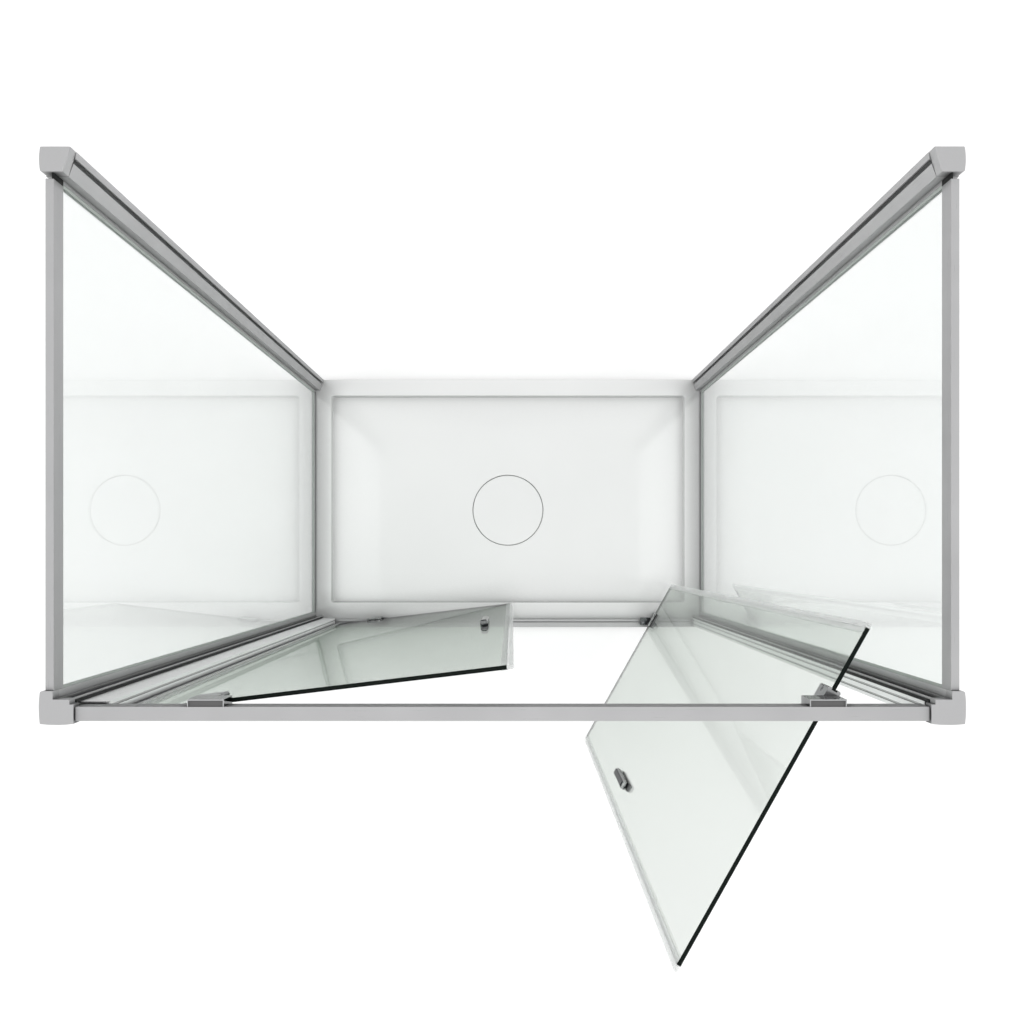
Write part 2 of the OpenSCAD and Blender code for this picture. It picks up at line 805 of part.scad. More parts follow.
// Front top rail, a hollow box with screw holes above the brackets
module front_top_rail() {
    w = profile_wall;
    color(metal)
        difference() {
            block(
                [-rail_half_l, front_y + front_rail_front, front_rail_z0],
                [rail_half_l, front_y + front_rail_back, front_rail_z1]
            );
            block(
                [-rail_half_l - cut, front_y + front_rail_front + w, front_rail_z0 + w],
                [rail_half_l + cut, front_y + front_rail_back - w, front_rail_z1 - w]
            );
            bracket_screw_places("top")
                cylinder(h = bracket_screw_bite, d = screw_d);
        }
}

// Connectors that carry the front top rail: a block in the rail's end, and a tongue
// that reaches the post under the cap
module rail_connectors() {
    w = profile_wall + connector_gap;
    y0 = front_y + front_rail_front + w;
    y1 = front_y + front_rail_back - w;
    z0 = front_rail_z0 + w;
    color(polished)
        for (side = ["left", "right"])
            on_side(side) {
                block([rail_half_l - connector_l, y0, z0], [rail_half_l, y1, front_rail_z1 - w]);
                block([rail_half_l - cut, y0, z0], [half_w - rebate_in, y1, cap_z - connector_gap]);
            }
}

// Threshold with a rib and a groove along its top
module threshold() {
    l = half_w - rebate_in;
    y0 = front_y + threshold_front;
    y1 = y0 + threshold_d;
    groove_y = y1 - threshold_rib - threshold_groove;
    color(metal)
        difference() {
            block([-l, y0, rim_z], [l, y1, threshold_z1]);
            block(
                [-l - cut, groove_y, threshold_z1 - threshold_groove_depth],
                [l + cut, groove_y + threshold_groove, threshold_z1 + cut]
            );
            bracket_screw_places("bottom")
                cylinder(h = bracket_screw_bite, d = screw_d);
        }
}

// Plan of a jamb on the right side that stands out of its rebate by a given width
module jamb_plan(out) {
    face = rebate_in + out;
    back_groove = jamb_back - jamb_back_land;
    front_groove = jamb_front + jamb_front_land;
    difference() {
        front_plan(rebate_in, face, jamb_front, jamb_back);
        front_plan(face - jamb_groove_depth, face + cut, back_groove - jamb_back_groove, back_groove);
        front_plan(face - jamb_groove_depth, face + cut, front_groove, front_groove + jamb_front_groove);
        // A jamb less than four walls wide is solid
        if (out > 4 * profile_wall)
            front_plan(
                rebate_in + profile_wall,
                face - jamb_groove_depth - profile_wall,
                jamb_front + profile_wall,
                jamb_back - profile_wall
            );
    }
}

// Left jamb, a hollow profile that fills the width beside the left door
module jamb_left() {
    color(metal)
        on_side("left")
            upright(threshold_z1, front_rail_z0)
                jamb_plan(left_jamb_out);
}

// Right jamb, a slim strip in the right post
module jamb_right() {
    color(metal)
        upright(threshold_z1, front_rail_z0)
            jamb_plan(right_jamb_out);
}

// Pivot axis of a door
function pivot_x(side) = side == "left" ? left_pivot_x : right_pivot_x;

// Middle of a door's brackets
function bracket_x(side) = pivot_x(side) + (side == "left" ? bracket_shift : -bracket_shift);

// Top bracket: a foot under the rail and a block up its inner face, with a pocket in the block's top
module top_bracket(side) {
    y1 = front_y + front_rail_back;
    top = front_rail_z1 - bracket_drop;
    color(polished)
        difference() {
            translate([bracket_x(side) - bracket_w / 2, y1, 0])
                rotate([90, 0, 90])
                    linear_extrude(bracket_w)
                        polygon([
                            [-bracket_under, top_bracket_z],
                            [top_bracket_proud, top_bracket_z],
                            [top_bracket_proud, top],
                            [0, top],
                            [0, front_rail_z0],
                            [-bracket_under, front_rail_z0]
                        ]);
            translate([bracket_x(side) - bracket_w / 2, y1, 0])
                block(
                    [bracket_rim, -cut, top - bracket_pocket],
                    [bracket_w - bracket_rim, top_bracket_proud - bracket_rim, top + cut]
                );
            translate([pivot_x(side), pivot_y, top_bracket_z - cut])
                cylinder(h = pin_seat + cut, d = pin_d);
            for (x = [-bracket_screw_x, bracket_screw_x])
                translate([bracket_x(side) + x, bracket_screw_y, 0]) {
                    translate([0, 0, top_bracket_z - cut])
                        cylinder(h = top_bracket_h + 2 * cut, d = screw_d + 2 * screw_gap);
                    translate([0, 0, top_bracket_z - cut])
                        cylinder(h = screw_head_h + screw_gap + cut, d = screw_head_d + 2 * screw_gap);
                }
        }
}

// Bottom bracket on the threshold
module bottom_bracket(side) {
    y1 = front_y + front_rail_back;
    color(polished)
        difference() {
            translate([bracket_x(side) - bracket_w / 2, 0, 0])
                block(
                    [0, y1 - bracket_under, threshold_z1],
                    [bracket_w, y1 + bracket_proud, bottom_bracket_z]
                );
            translate([pivot_x(side), pivot_y, bottom_bracket_z - pin_seat])
                cylinder(h = pin_seat + cut, d = pin_d);
            for (x = [-bracket_screw_x, bracket_screw_x])
                translate([bracket_x(side) + x, bracket_screw_y, 0]) {
                    translate([0, 0, threshold_z1 - cut])
                        cylinder(h = bottom_bracket_h + 2 * cut, d = screw_d + 2 * screw_gap);
                    translate([0, 0, bottom_bracket_z - screw_head_h - screw_gap])
                        cylinder(h = screw_head_h + screw_gap + cut, d = screw_head_d + 2 * screw_gap);
                }
        }
}

// The four pins that the doors turn on
module pivot_pins() {
    color(polished)
        for (side = ["left", "right"]) {
            translate([pivot_x(side), pivot_y, top_bracket_z - swing_gap - pin_reach])
                cylinder(h = pin_reach + swing_gap + pin_seat, d = pin_d);
            translate([pivot_x(side), pivot_y, bottom_bracket_z - pin_seat])
                cylinder(h = pin_reach + swing_gap + pin_seat, d = pin_d);
        }
}

// Places of the bracket screws where they enter the rail or the threshold
module bracket_screw_places(level) {
    for (side = ["left", "right"], x = [-bracket_screw_x, bracket_screw_x])
        translate([
            bracket_x(side) + x,
            bracket_screw_y,
            level == "top" ? front_rail_z0 : threshold_z1 - bracket_screw_bite
        ])
            children();
}

// Screws that hold the four brackets
module bracket_screws() {
    color(polished)
        for (side = ["left", "right"], x = [-bracket_screw_x, bracket_screw_x])
            translate([bracket_x(side) + x, bracket_screw_y, 0]) {
                pan_screw(top_bracket_z, top_bracket_h + bracket_screw_bite, 1);
                pan_screw(bottom_bracket_z, bottom_bracket_h + bracket_screw_bite, -1);
            }
}

// One upright screw from its head's outer face, pointing up (1) or down (-1)
module pan_screw(z, length, way) {
    translate([0, 0, z])
        mirror([0, 0, way < 0 ? 1 : 0])
            translate([0, 0, screw_gap]) {
                cylinder(h = length - screw_gap, d = screw_d);
                cylinder(h = screw_head_h, d = screw_head_d);
            }
}

// Places of the frame screws on the right rear stile's outer face
module frame_screw_places() {
    span = cap_z - rim_z - 2 * frame_screw_end;
    for (k = [0 : frame_screws_n - 1])
        translate([
            half_w - upright_inset,
            wall_y - (stile_back + stile_front) / 2,
            rim_z + frame_screw_end + span * k / (frame_screws_n - 1)
        ])
            rotate([0, -90, 0])
                children();
}

// Screws through the rear stiles' outer walls that lock the wall profiles' legs
module frame_screws() {
    color(polished)
        for (side = ["left", "right"])
            on_side(side)
                frame_screw_places() {
                    cylinder(h = profile_wall + peg_gap, d = screw_d);
                    translate([0, 0, -screw_head_h / 2])
                        cylinder(h = screw_head_h / 2, d = screw_head_d);
                }
}

// Puts a door, drawn from its pivot towards +X, in its place
module door_place(side) {
    translate([pivot_x(side), pivot_y, 0])
        rotate(side == "left" ? left_open : right_open)
            mirror([side == "right" ? 1 : 0, 0, 0])
                children();
}

// Repeats what is drawn at the door's top at its bottom, upside down
module at_both_ends() {
    children();
    translate([0, 0, door_z0 + door_z1])
        mirror([0, 0, 1])
            children();
}

// Repeats a shape on the outer face of the door
module on_both_faces() {
    children();
    mirror([0, 1, 0])
        children();
}

// Door glass with a notch for each clamp, and holes for the clamps and the handle
module door_glass(side) {
    color(door_glass_colour)
        door_place(side)
            difference() {
                block(
                    [-short_glass, -door_half_t, door_z0],
                    [long_glass, door_half_t, door_z1]
                );
                at_both_ends()
                    block(
                        [-notch_w / 2, -door_half_t - cut, door_z1 - notch_h],
                        [notch_w / 2, door_half_t + cut, door_z1 + cut]
                    );
                at_both_ends()
                    clamp_screw_places()
                        cylinder(h = door_glass_t + 2 * cut, d = glass_hole_d, center = true);
                stud_places()
                    cylinder(h = door_glass_t + 2 * cut, d = stud_hole_d, center = true);
            }
}

// Places of a top clamp's two screws, with Z along the screw towards the inner face
module clamp_screw_places() {
    for (x = [-clamp_screw_x, clamp_screw_x])
        translate([x, 0, door_z1 - clamp_screw_z])
            rotate([-90, 0, 0])
                children();
}

// Places of the handle's two studs, with Z along the stud towards the inner face
module stud_places() {
    for (z = [-stud_pitch / 2, stud_pitch / 2])
        translate([handle_x, 0, handle_mid_z + z])
            rotate([-90, 0, 0])
                children();
}

// Plan of a push-on seal at x = 0: two legs back over the glass, a base and a fin
module seal_plan(fin) {
    w = door_half_t + seal_wall;
    f = seal_fin_t / 2;
    base = 2 * seal_wall;
    difference() {
        union() {
            plate([-seal_leg, -w], [base, w]);
            plate([base - cut / 2, -f], [fin, f]);
        }
        plate([-seal_leg - cut, -door_half_t], [0, door_half_t]);
        plate([base + seal_wall, seal_wall - f], [fin - seal_wall, f - seal_wall]);
    }
}

// Seal on the free edge, where the two doors meet
module meeting_seal(side) {
    color(clear_seal)
        door_place(side)
            upright(door_z0 + seal_short, door_z1 - seal_short)
                translate([long_glass, 0])
                    seal_plan(meeting_fin);
}

// Seal on the edge beside the jamb
module jamb_seal(side) {
    color(clear_seal)
        door_place(side)
            upright(door_z0 + seal_short, door_z1 - seal_short)
                translate([-short_glass, 0])
                    mirror([1, 0])
                        seal_plan(jamb_fin);
}

// Inner half of a top clamp, without screw holes: a plate, a bar over the edge of the
// glass and a stem in its notch, with half of the bush's bore
module clamp_half() {
    z0 = clamp_top_z - clamp_h;
    over = door_z1 + pad_t / 2;
    bar = clamp_l / 2 - clamp_edge_r;
    stem_z0 = door_z1 - notch_h + notch_gap;
    difference() {
        union() {
            upright(z0, clamp_top_z)
                difference() {
                    rounded_plate(
                        [-clamp_l / 2, clamp_in - 2 * clamp_edge_r],
                        [clamp_l / 2, clamp_out],
                        clamp_edge_r
                    );
                    plate([-clamp_l, -clamp_out], [clamp_l, clamp_in]);
                }
            block([-bar, 0, over], [bar, clamp_in + cut, clamp_top_z]);
            block([-stem_w / 2, 0, stem_z0], [stem_w / 2, clamp_in + cut, clamp_top_z]);
        }
        upright(clamp_top_z - bush_l + bush_out, clamp_top_z + cut)
            circle(d = bush_d);
    }
}

// Inner half of a clamp, with counterbored screw holes
module clamp_inner(side, end) {
    color(polished)
        clamp_place(side, end)
            difference() {
                clamp_half();
                clamp_screw_places() {
                    cylinder(h = clamp_out + cut, d = clamp_screw_d + 2 * screw_gap);
                    translate([0, 0, clamp_out - clamp_head_h - screw_gap])
                        cylinder(h = clamp_head_h + screw_gap + cut, d = clamp_head_d + 2 * screw_gap);
                }
            }
}

// Outer half of a clamp, with blind threaded holes
module clamp_outer(side, end) {
    color(polished)
        clamp_place(side, end)
            difference() {
                mirror([0, 1, 0])
                    clamp_half();
                clamp_screw_places()
                    translate([0, 0, -clamp_out + profile_wall])
                        cylinder(h = clamp_out, d = clamp_screw_d);
            }
}

// Puts a clamp at the top or the bottom of a door
module clamp_place(side, end) {
    door_place(side)
        translate([0, 0, end == "bottom" ? door_z0 + door_z1 : 0])
            mirror([0, 0, end == "bottom" ? 1 : 0])
                children();
}

// Pads of the clamps and washers of the handle, all against the glass
module glass_pads(side) {
    pad_half = clamp_l / 2 - pad_inset;
    washer_half = handle_w / 2 - pad_inset;
    washer_end = handle_h / 2 - 2 * pad_inset;
    color(dark_rubber)
        door_place(side)
            on_both_faces() {
                at_both_ends()
                    difference() {
                        block(
                            [-pad_half, door_half_t, clamp_top_z - clamp_h + pad_inset],
                            [pad_half, clamp_in, door_z1]
                        );
                        block(
                            [-notch_w / 2, 0, door_z1 - notch_h],
                            [notch_w / 2, clamp_in + cut, door_z1 + cut]
                        );
                        clamp_screw_places()
                            cylinder(h = clamp_out, d = glass_hole_d);
                    }
                difference() {
                    block(
                        [handle_x - washer_half, door_half_t, handle_mid_z - washer_end],
                        [handle_x + washer_half, door_half_t + washer_t, handle_mid_z + washer_end]
                    );
                    stud_places()
                        cylinder(h = clamp_out, d = stud_d);
                }
            }
}

// Bushes that turn on the pins
module pivot_bushes(side) {
    color(nylon)
        door_place(side)
            at_both_ends()
                upright(clamp_top_z - bush_l + bush_out, clamp_top_z + bush_out)
                    difference() {
                        circle(d = bush_d);
                        circle(d = pin_d + 2 * pin_clearance);
                    }
}

// Socket-head screws of the clamps
module clamp_screws(side) {
    head = clamp_out - screw_gap;
    color(polished)
        door_place(side)
            at_both_ends()
                clamp_screw_places()
                    difference() {
                        union() {
                            translate([0, 0, head - clamp_head_h])
                                cylinder(h = clamp_head_h, d = clamp_head_d);
                            translate([0, 0, -clamp_out + profile_wall])
                                cylinder(h = clamp_out + head - profile_wall - cut, d = clamp_screw_d);
                        }
                        translate([0, 0, head - clamp_head_h / 2])
                            cylinder(h = clamp_head_h, d = clamp_socket_d, $fn = 6);
                    }
}

// Inner handle: a bar with sloped edges and ends, and two blind stud holes
module handle_half() {
    y0 = door_half_t + washer_t;
    y1 = y0 + handle_t;
    c = handle_chamfer;
    w = handle_w / 2;
    h = handle_h / 2;
    difference() {
        intersection() {
            upright(handle_mid_z - h, handle_mid_z + h)
                translate([handle_x, 0])
                    polygon([[-w, y0], [w, y0], [w, y1 - c], [w - c, y1], [c - w, y1], [-w, y1 - c]]);
            translate([handle_x - w - cut, 0, handle_mid_z])
                rotate([90, 0, 90])
                    linear_extrude(handle_w + 2 * cut)
                        polygon([[y0, -h], [y0, h], [y1 - c, h], [y1, h - c], [y1, c - h], [y1 - c, -h]]);
        }
        stud_places()
            cylinder(h = y0 + stud_bite, d = stud_d);
    }
}

// Handle on the inner face of a door
module handle_inner(side) {
    color(polished)
        door_place(side)
            handle_half();
}

// Handle on the outer face of a door
module handle_outer(side) {
    color(polished)
        door_place(side)
            mirror([0, 1, 0])
                handle_half();
}

// Studs that join the two handles through the glass
module handle_studs(side) {
    color(polished)
        door_place(side)
            stud_places()
                cylinder(h = 2 * (door_half_t + washer_t + stud_bite), d = stud_d, center = true);
}

tray();
waste_flange();
waste_strainer();
waste_cover();
wall_profile("left");  // wall_profile_left
wall_profile("right");  // wall_profile_right
rear_stile("left");  // rear_stile_left
rear_stile("right");  // rear_stile_right
rear_cap("left");  // rear_cap_left
rear_cap("right");  // rear_cap_right
side_glass("left");  // side_glass_left
side_glass("right");  // side_glass_right
side_top_rail("left");  // side_top_rail_left
side_top_rail("right");  // side_top_rail_right
side_bottom_rail("left");  // side_bottom_rail_left
side_bottom_rail("right");  // side_bottom_rail_right
glazing_seals("left");  // glazing_seals_left
glazing_seals("right");  // glazing_seals_right
front_post("left");  // front_post_left
front_post("right");  // front_post_right
front_cap("left");  // front_cap_left
front_cap("right");  // front_cap_right
front_top_rail();
rail_connectors();
threshold();
jamb_left();
jamb_right();
top_bracket("left");  // top_bracket_left
top_bracket("right");  // top_bracket_right
bottom_bracket("left");  // bottom_bracket_left
bottom_bracket("right");  // bottom_bracket_right
pivot_pins();
bracket_screws();
frame_screws();
door_glass("left");  // left_door_glass
door_glass("right");  // right_door_glass
meeting_seal("left");  // left_meeting_seal
meeting_seal("right");  // right_meeting_seal
jamb_seal("left");  // left_jamb_seal
jamb_seal("right");  // right_jamb_seal
clamp_outer("left", "top");  // left_top_clamp_outer
clamp_outer("right", "top");  // right_top_clamp_outer
clamp_inner("left", "top");  // left_top_clamp_inner
clamp_inner("right", "top");  // right_top_clamp_inner
clamp_outer("left", "bottom");  // left_bottom_clamp_outer
clamp_outer("right", "bottom");  // right_bottom_clamp_outer
clamp_inner("left", "bottom");  // left_bottom_clamp_inner
clamp_inner("right", "bottom");  // right_bottom_clamp_inner
glass_pads("left");  // left_glass_pads
glass_pads("right");  // right_glass_pads
pivot_bushes("left");  // left_pivot_bushes
pivot_bushes("right");  // right_pivot_bushes
clamp_screws("left");  // left_clamp_screws
clamp_screws("right");  // right_clamp_screws
handle_outer("left");  // left_handle_outer
handle_outer("right");  // right_handle_outer
handle_inner("left");  // left_handle_inner
handle_inner("right");  // right_handle_inner
handle_studs("left");  // left_handle_studs
handle_studs("right");  // right_handle_studs
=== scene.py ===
# %% [markdown]
# # A three-sided shower enclosure
# The object is a low white tray with glass on its two sides and two pivot doors across its front, all held
# in satin aluminium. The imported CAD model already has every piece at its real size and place, so this
# lesson is about what CAD leaves out: eased edges, extruded seals, turned and moulded parts, and finishes
# that read as metal, glass, rubber and gel coat from every side.

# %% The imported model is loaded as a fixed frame
import json
import math

import bmesh
import bpy
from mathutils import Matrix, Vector


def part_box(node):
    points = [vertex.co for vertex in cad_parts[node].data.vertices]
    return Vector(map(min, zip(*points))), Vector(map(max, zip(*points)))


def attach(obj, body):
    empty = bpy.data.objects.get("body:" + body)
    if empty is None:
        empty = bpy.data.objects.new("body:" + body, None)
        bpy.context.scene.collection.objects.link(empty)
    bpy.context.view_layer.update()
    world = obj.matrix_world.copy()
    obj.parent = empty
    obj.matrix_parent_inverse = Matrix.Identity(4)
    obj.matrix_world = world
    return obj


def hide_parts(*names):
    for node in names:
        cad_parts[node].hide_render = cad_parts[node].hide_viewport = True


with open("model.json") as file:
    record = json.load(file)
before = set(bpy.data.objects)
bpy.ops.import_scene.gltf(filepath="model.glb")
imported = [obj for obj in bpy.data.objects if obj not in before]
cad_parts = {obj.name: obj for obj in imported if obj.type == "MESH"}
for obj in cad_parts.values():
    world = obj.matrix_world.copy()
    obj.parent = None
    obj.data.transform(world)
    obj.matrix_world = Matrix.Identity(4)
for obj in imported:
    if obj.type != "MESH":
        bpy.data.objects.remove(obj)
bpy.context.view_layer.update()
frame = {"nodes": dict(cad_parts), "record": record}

nodes = frame["nodes"]
body_of_node = {
    node: body
    for body, members in frame["record"]["behaviour"]["bodies"].items()
    for node in members
}
slot_of_node = {row["node"]: row["material_slot"] for row in frame["record"]["subparts"]}
waiting = set(nodes)

# %% [markdown]
# ## Camera
# The photograph looks straight down from over three metres, so the uprights run towards the middle of the
# picture. A camera with no turn looks along -Z with +Y up, which is that view. A small vertical shift puts
# the vanishing point below the middle of the picture, as a view camera does, instead of a tilt that would
# bend the square plan.

# %% Camera above the tray
camera_data = bpy.data.cameras.new("camera")
camera_data.sensor_width = 36.0
camera_data.lens = 37.42
camera_data.shift_y = 0.0403
camera_data.clip_end = 60.0
camera = bpy.data.objects.new("camera", camera_data)
camera.location = (0.0124, -0.1312, 3.271)
bpy.context.scene.collection.objects.link(camera)
bpy.context.scene.camera = camera
bpy.context.scene.view_settings.view_transform = "Standard"
print("camera height:", camera.location.z)

# %% [markdown]
# ## Small tools for node trees
# Every finish below is a tree of shader nodes. Writing each node on its own line hides the idea, so two
# small functions make a node with its values and join two sockets.


# %% Making and joining nodes
def put(tree, kind, values=None, **settings):
    """A node of that kind, with settings as attributes and values for its input sockets."""
    node = tree.nodes.new(kind)
    for name, value in settings.items():
        setattr(node, name, value)
    for socket, value in (values or {}).items():
        node.inputs[socket].default_value = value
    return node


def join(tree, source, output, target, entry):
    """Joins one output socket to one input socket, each by its name or number."""
    tree.links.new(source.outputs[output], target.inputs[entry])


finishes = {}


def new_finish(name):
    """An empty material with its shader and output, ready for detail, kept under its name."""
    material = bpy.data.materials.new(name)
    finishes[name] = material
    material.use_nodes = True
    tree = material.node_tree
    tree.nodes.clear()
    output = put(tree, "ShaderNodeOutputMaterial")
    shader = put(tree, "ShaderNodeBsdfPrincipled")
    join(tree, shader, "BSDF", output, "Surface")
    return tree, shader, output


def pattern(tree, stretch, scale, detail=4.0, rough=0.55):
    """Noise on the object's own coordinates, in metres, stretched along its axes."""
    place = put(tree, "ShaderNodeTexCoord")
    mapping = put(tree, "ShaderNodeMapping", {"Scale": stretch})
    noise = put(tree, "ShaderNodeTexNoise", {"Scale": scale, "Detail": detail, "Roughness": rough})
    join(tree, place, "Object", mapping, "Vector")
    join(tree, mapping, "Vector", noise, "Vector")
    return noise


def spread(tree, noise, low, high):
    """A number that runs between two values as the noise does."""
    span = put(tree, "ShaderNodeMapRange", {"From Min": 0.3, "From Max": 0.7, "To Min": low, "To Max": high})
    join(tree, noise, 0, span, "Value")
    return span


def shades(tree, noise, dark, light):
    """A colour that runs between two shades as the noise does."""
    ramp = put(tree, "ShaderNodeValToRGB")
    ramp.color_ramp.elements[0].position = 0.3
    ramp.color_ramp.elements[0].color = (*dark, 1.0)
    ramp.color_ramp.elements[1].position = 0.7
    ramp.color_ramp.elements[1].color = (*light, 1.0)
    join(tree, noise, 0, ramp, "Fac")
    return ramp


def paint_shade_in_grooves(tree, shader, tone, reach, power, least=0.0):
    """Paints shade into a colour in grooves and corners, where other surfaces are within reach in metres."""
    near = put(tree, "ShaderNodeAmbientOcclusion", {"Distance": reach}, samples=8)
    depth = put(tree, "ShaderNodeMath", {1: power}, operation="POWER")
    kept = put(tree, "ShaderNodeMath", {1: least}, operation="MAXIMUM")
    deeper = put(tree, "ShaderNodeVectorMath", operation="SCALE")
    join(tree, near, "AO", depth, 0)
    join(tree, depth, 0, kept, 0)
    join(tree, tone, "Color", deeper, 0)
    join(tree, kept, 0, deeper, "Scale")
    join(tree, deeper, "Vector", shader, "Base Color")


def relief(tree, shader, noise, distance, strength=0.5):
    """Fine relief in the surface, as deep as distance in metres."""
    bump = put(tree, "ShaderNodeBump", {"Strength": strength, "Distance": distance})
    join(tree, noise, 0, bump, "Height")
    join(tree, bump, "Normal", shader, "Normal")
    return bump


def plain_finish(name, noise, shade_pair, roughness, grain, sockets):
    """A finish whose colour, roughness and relief follow one noise, with its other sockets as given."""
    tree, shader, _ = new_finish(name)
    texture = pattern(tree, *noise)
    join(tree, shades(tree, texture, *shade_pair), "Color", shader, "Base Color")
    join(tree, spread(tree, texture, *roughness), "Result", shader, "Roughness")
    relief(tree, shader, texture, *grain)
    for socket, value in sockets.items():
        shader.inputs[socket].default_value = value


print("node tools ready")

# %% [markdown]
# ## Light and floor
# The photograph has no visible lamps. Broad light comes from above, the inner faces of the side rails are
# lighter than that of the front rail, and faces that look to the back are light as well. One large area
# lamp overhead and a softer one at each side give that. The world adds light from the sides and from the
# front, and hardly any from the back, so that faces which look sideways still stay darker than faces that
# look up.
#
# The background has to be white without more light on the object. The world therefore shows white only to
# camera, mirror and glass rays, found with the Light Path node, and the floor adds a little glow for the
# same rays, over which the object's shadow still falls. A studio is darker low on its walls than overhead,
# so mirror rays see the white fall to a grey towards the horizon. That gives glass and polished metal the
# dark sides that they have in the photograph.


# %% Which rays see the white background
def seen_directly(tree):
    """1 for camera, mirror and glass rays, and 0 for light that bounces."""
    path = put(tree, "ShaderNodeLightPath")
    first = put(tree, "ShaderNodeMath", operation="MAXIMUM")
    both = put(tree, "ShaderNodeMath", operation="MAXIMUM")
    join(tree, path, "Is Camera Ray", first, 0)
    join(tree, path, "Is Glossy Ray", first, 1)
    join(tree, first, 0, both, 0)
    join(tree, path, "Is Transmission Ray", both, 1)
    return both


FRONT_LIGHT, BACK_LIGHT, SIDE_LIGHT = 0.60, 0.09, 1.40
HORIZON = 0.35
world = bpy.data.worlds.new("studio")
bpy.context.scene.world = world
world.use_nodes = True
sky = world.node_tree
sky.nodes.clear()
sky_out = put(sky, "ShaderNodeOutputWorld")
sky_way = put(sky, "ShaderNodeTexCoord")
sky_parts = put(sky, "ShaderNodeSeparateXYZ")
sky_walls = put(sky, "ShaderNodeMapRange", {"From Max": 0.9, "To Min": HORIZON, "To Max": 1.0})
sky_path = put(sky, "ShaderNodeLightPath")
sky_reflected = put(sky, "ShaderNodeMath", operation="SUBTRACT", use_clamp=True)
sky_mirrored = put(sky, "ShaderNodeMix", {"A": 1.0})
sky_sideways = put(sky, "ShaderNodeMath", operation="MULTIPLY")
sky_depth = put(sky, "ShaderNodeMapRange",
                {"From Min": -1.0, "From Max": 0.0, "To Min": FRONT_LIGHT, "To Max": BACK_LIGHT})
sky_light = put(sky, "ShaderNodeMapRange", {"To Max": SIDE_LIGHT})
sky_level = put(sky, "ShaderNodeMix")
sky_back = put(sky, "ShaderNodeBackground", {"Color": (1.0, 1.0, 1.0, 1.0)})
join(sky, sky_way, "Generated", sky_parts, "Vector")
join(sky, sky_parts, "Z", sky_walls, "Value")
join(sky, sky_parts, "X", sky_sideways, 0)
join(sky, sky_parts, "X", sky_sideways, 1)
join(sky, sky_parts, "Y", sky_depth, "Value")
join(sky, sky_depth, "Result", sky_light, "To Min")
join(sky, sky_sideways, 0, sky_light, "Value")
join(sky, sky_light, "Result", sky_level, "A")
join(sky, sky_path, "Is Glossy Ray", sky_reflected, 0)
join(sky, sky_path, "Is Transmission Ray", sky_reflected, 1)
join(sky, sky_reflected, 0, sky_mirrored, "Factor")
join(sky, sky_walls, "Result", sky_mirrored, "B")
join(sky, seen_directly(sky), 0, sky_level, "Factor")
join(sky, sky_mirrored, "Result", sky_level, "B")
join(sky, sky_level, "Result", sky_back, "Strength")
join(sky, sky_back, "Background", sky_out, "Surface")
print("world light:", FRONT_LIGHT, "from the front,", SIDE_LIGHT, "from the sides")


# %% Three soft lamps
def soft_lamp(name, place, aim, size, watts):
    """A square area lamp that shines from one point towards another."""
    data = bpy.data.lights.new(name, "AREA")
    data.size = size
    data.energy = watts
    lamp = bpy.data.objects.new(name, data)
    lamp.location = place
    lamp.rotation_euler = (Vector(aim) - Vector(place)).to_track_quat("-Z", "Y").to_euler()
    lamp.visible_camera = False
    lamp.visible_glossy = False
    bpy.context.scene.collection.objects.link(lamp)
    return lamp


soft_lamp("overhead_lamp", (0.0, 0.0, 9.0), (0.0, 0.0, 0.0), 6.0, 284.0)
for side, way in (("left", -1.0), ("right", 1.0)):
    soft_lamp(side + "_lamp", (4.4 * way, 0.0, 2.9), (0.0, 0.0, 0.9), 2.4, 62.0)
print("lamps:", len(bpy.data.lights))

# %% Pale floor that keeps the shadow
FLOOR_HALF = 14.0
floor_mesh = bpy.data.meshes.new("floor")
floor_mesh.from_pydata(
    [(-FLOOR_HALF, -FLOOR_HALF, 0.0), (FLOOR_HALF, -FLOOR_HALF, 0.0),
     (FLOOR_HALF, FLOOR_HALF, 0.0), (-FLOOR_HALF, FLOOR_HALF, 0.0)],
    [], [(0, 1, 2, 3)],
)
floor = bpy.data.objects.new("floor", floor_mesh)
floor.location.z = -0.0006
bpy.context.scene.collection.objects.link(floor)
tree, shader, output = new_finish("pale_floor")
shader.inputs["Base Color"].default_value = (0.82, 0.82, 0.82, 1.0)
shader.inputs["Roughness"].default_value = 0.9
shader.inputs["Specular IOR Level"].default_value = 0.0
glow = put(tree, "ShaderNodeEmission")
level = put(tree, "ShaderNodeMapRange", {"To Min": 0.0, "To Max": 0.26})
both = put(tree, "ShaderNodeAddShader")
join(tree, seen_directly(tree), 0, level, "Value")
join(tree, level, "Result", glow, "Strength")
join(tree, shader, "BSDF", both, 0)
join(tree, glow, "Emission", both, 1)
join(tree, both, "Shader", output, "Surface")
floor_mesh.materials.append(finishes["pale_floor"])
print("floor side:", 2 * FLOOR_HALF)
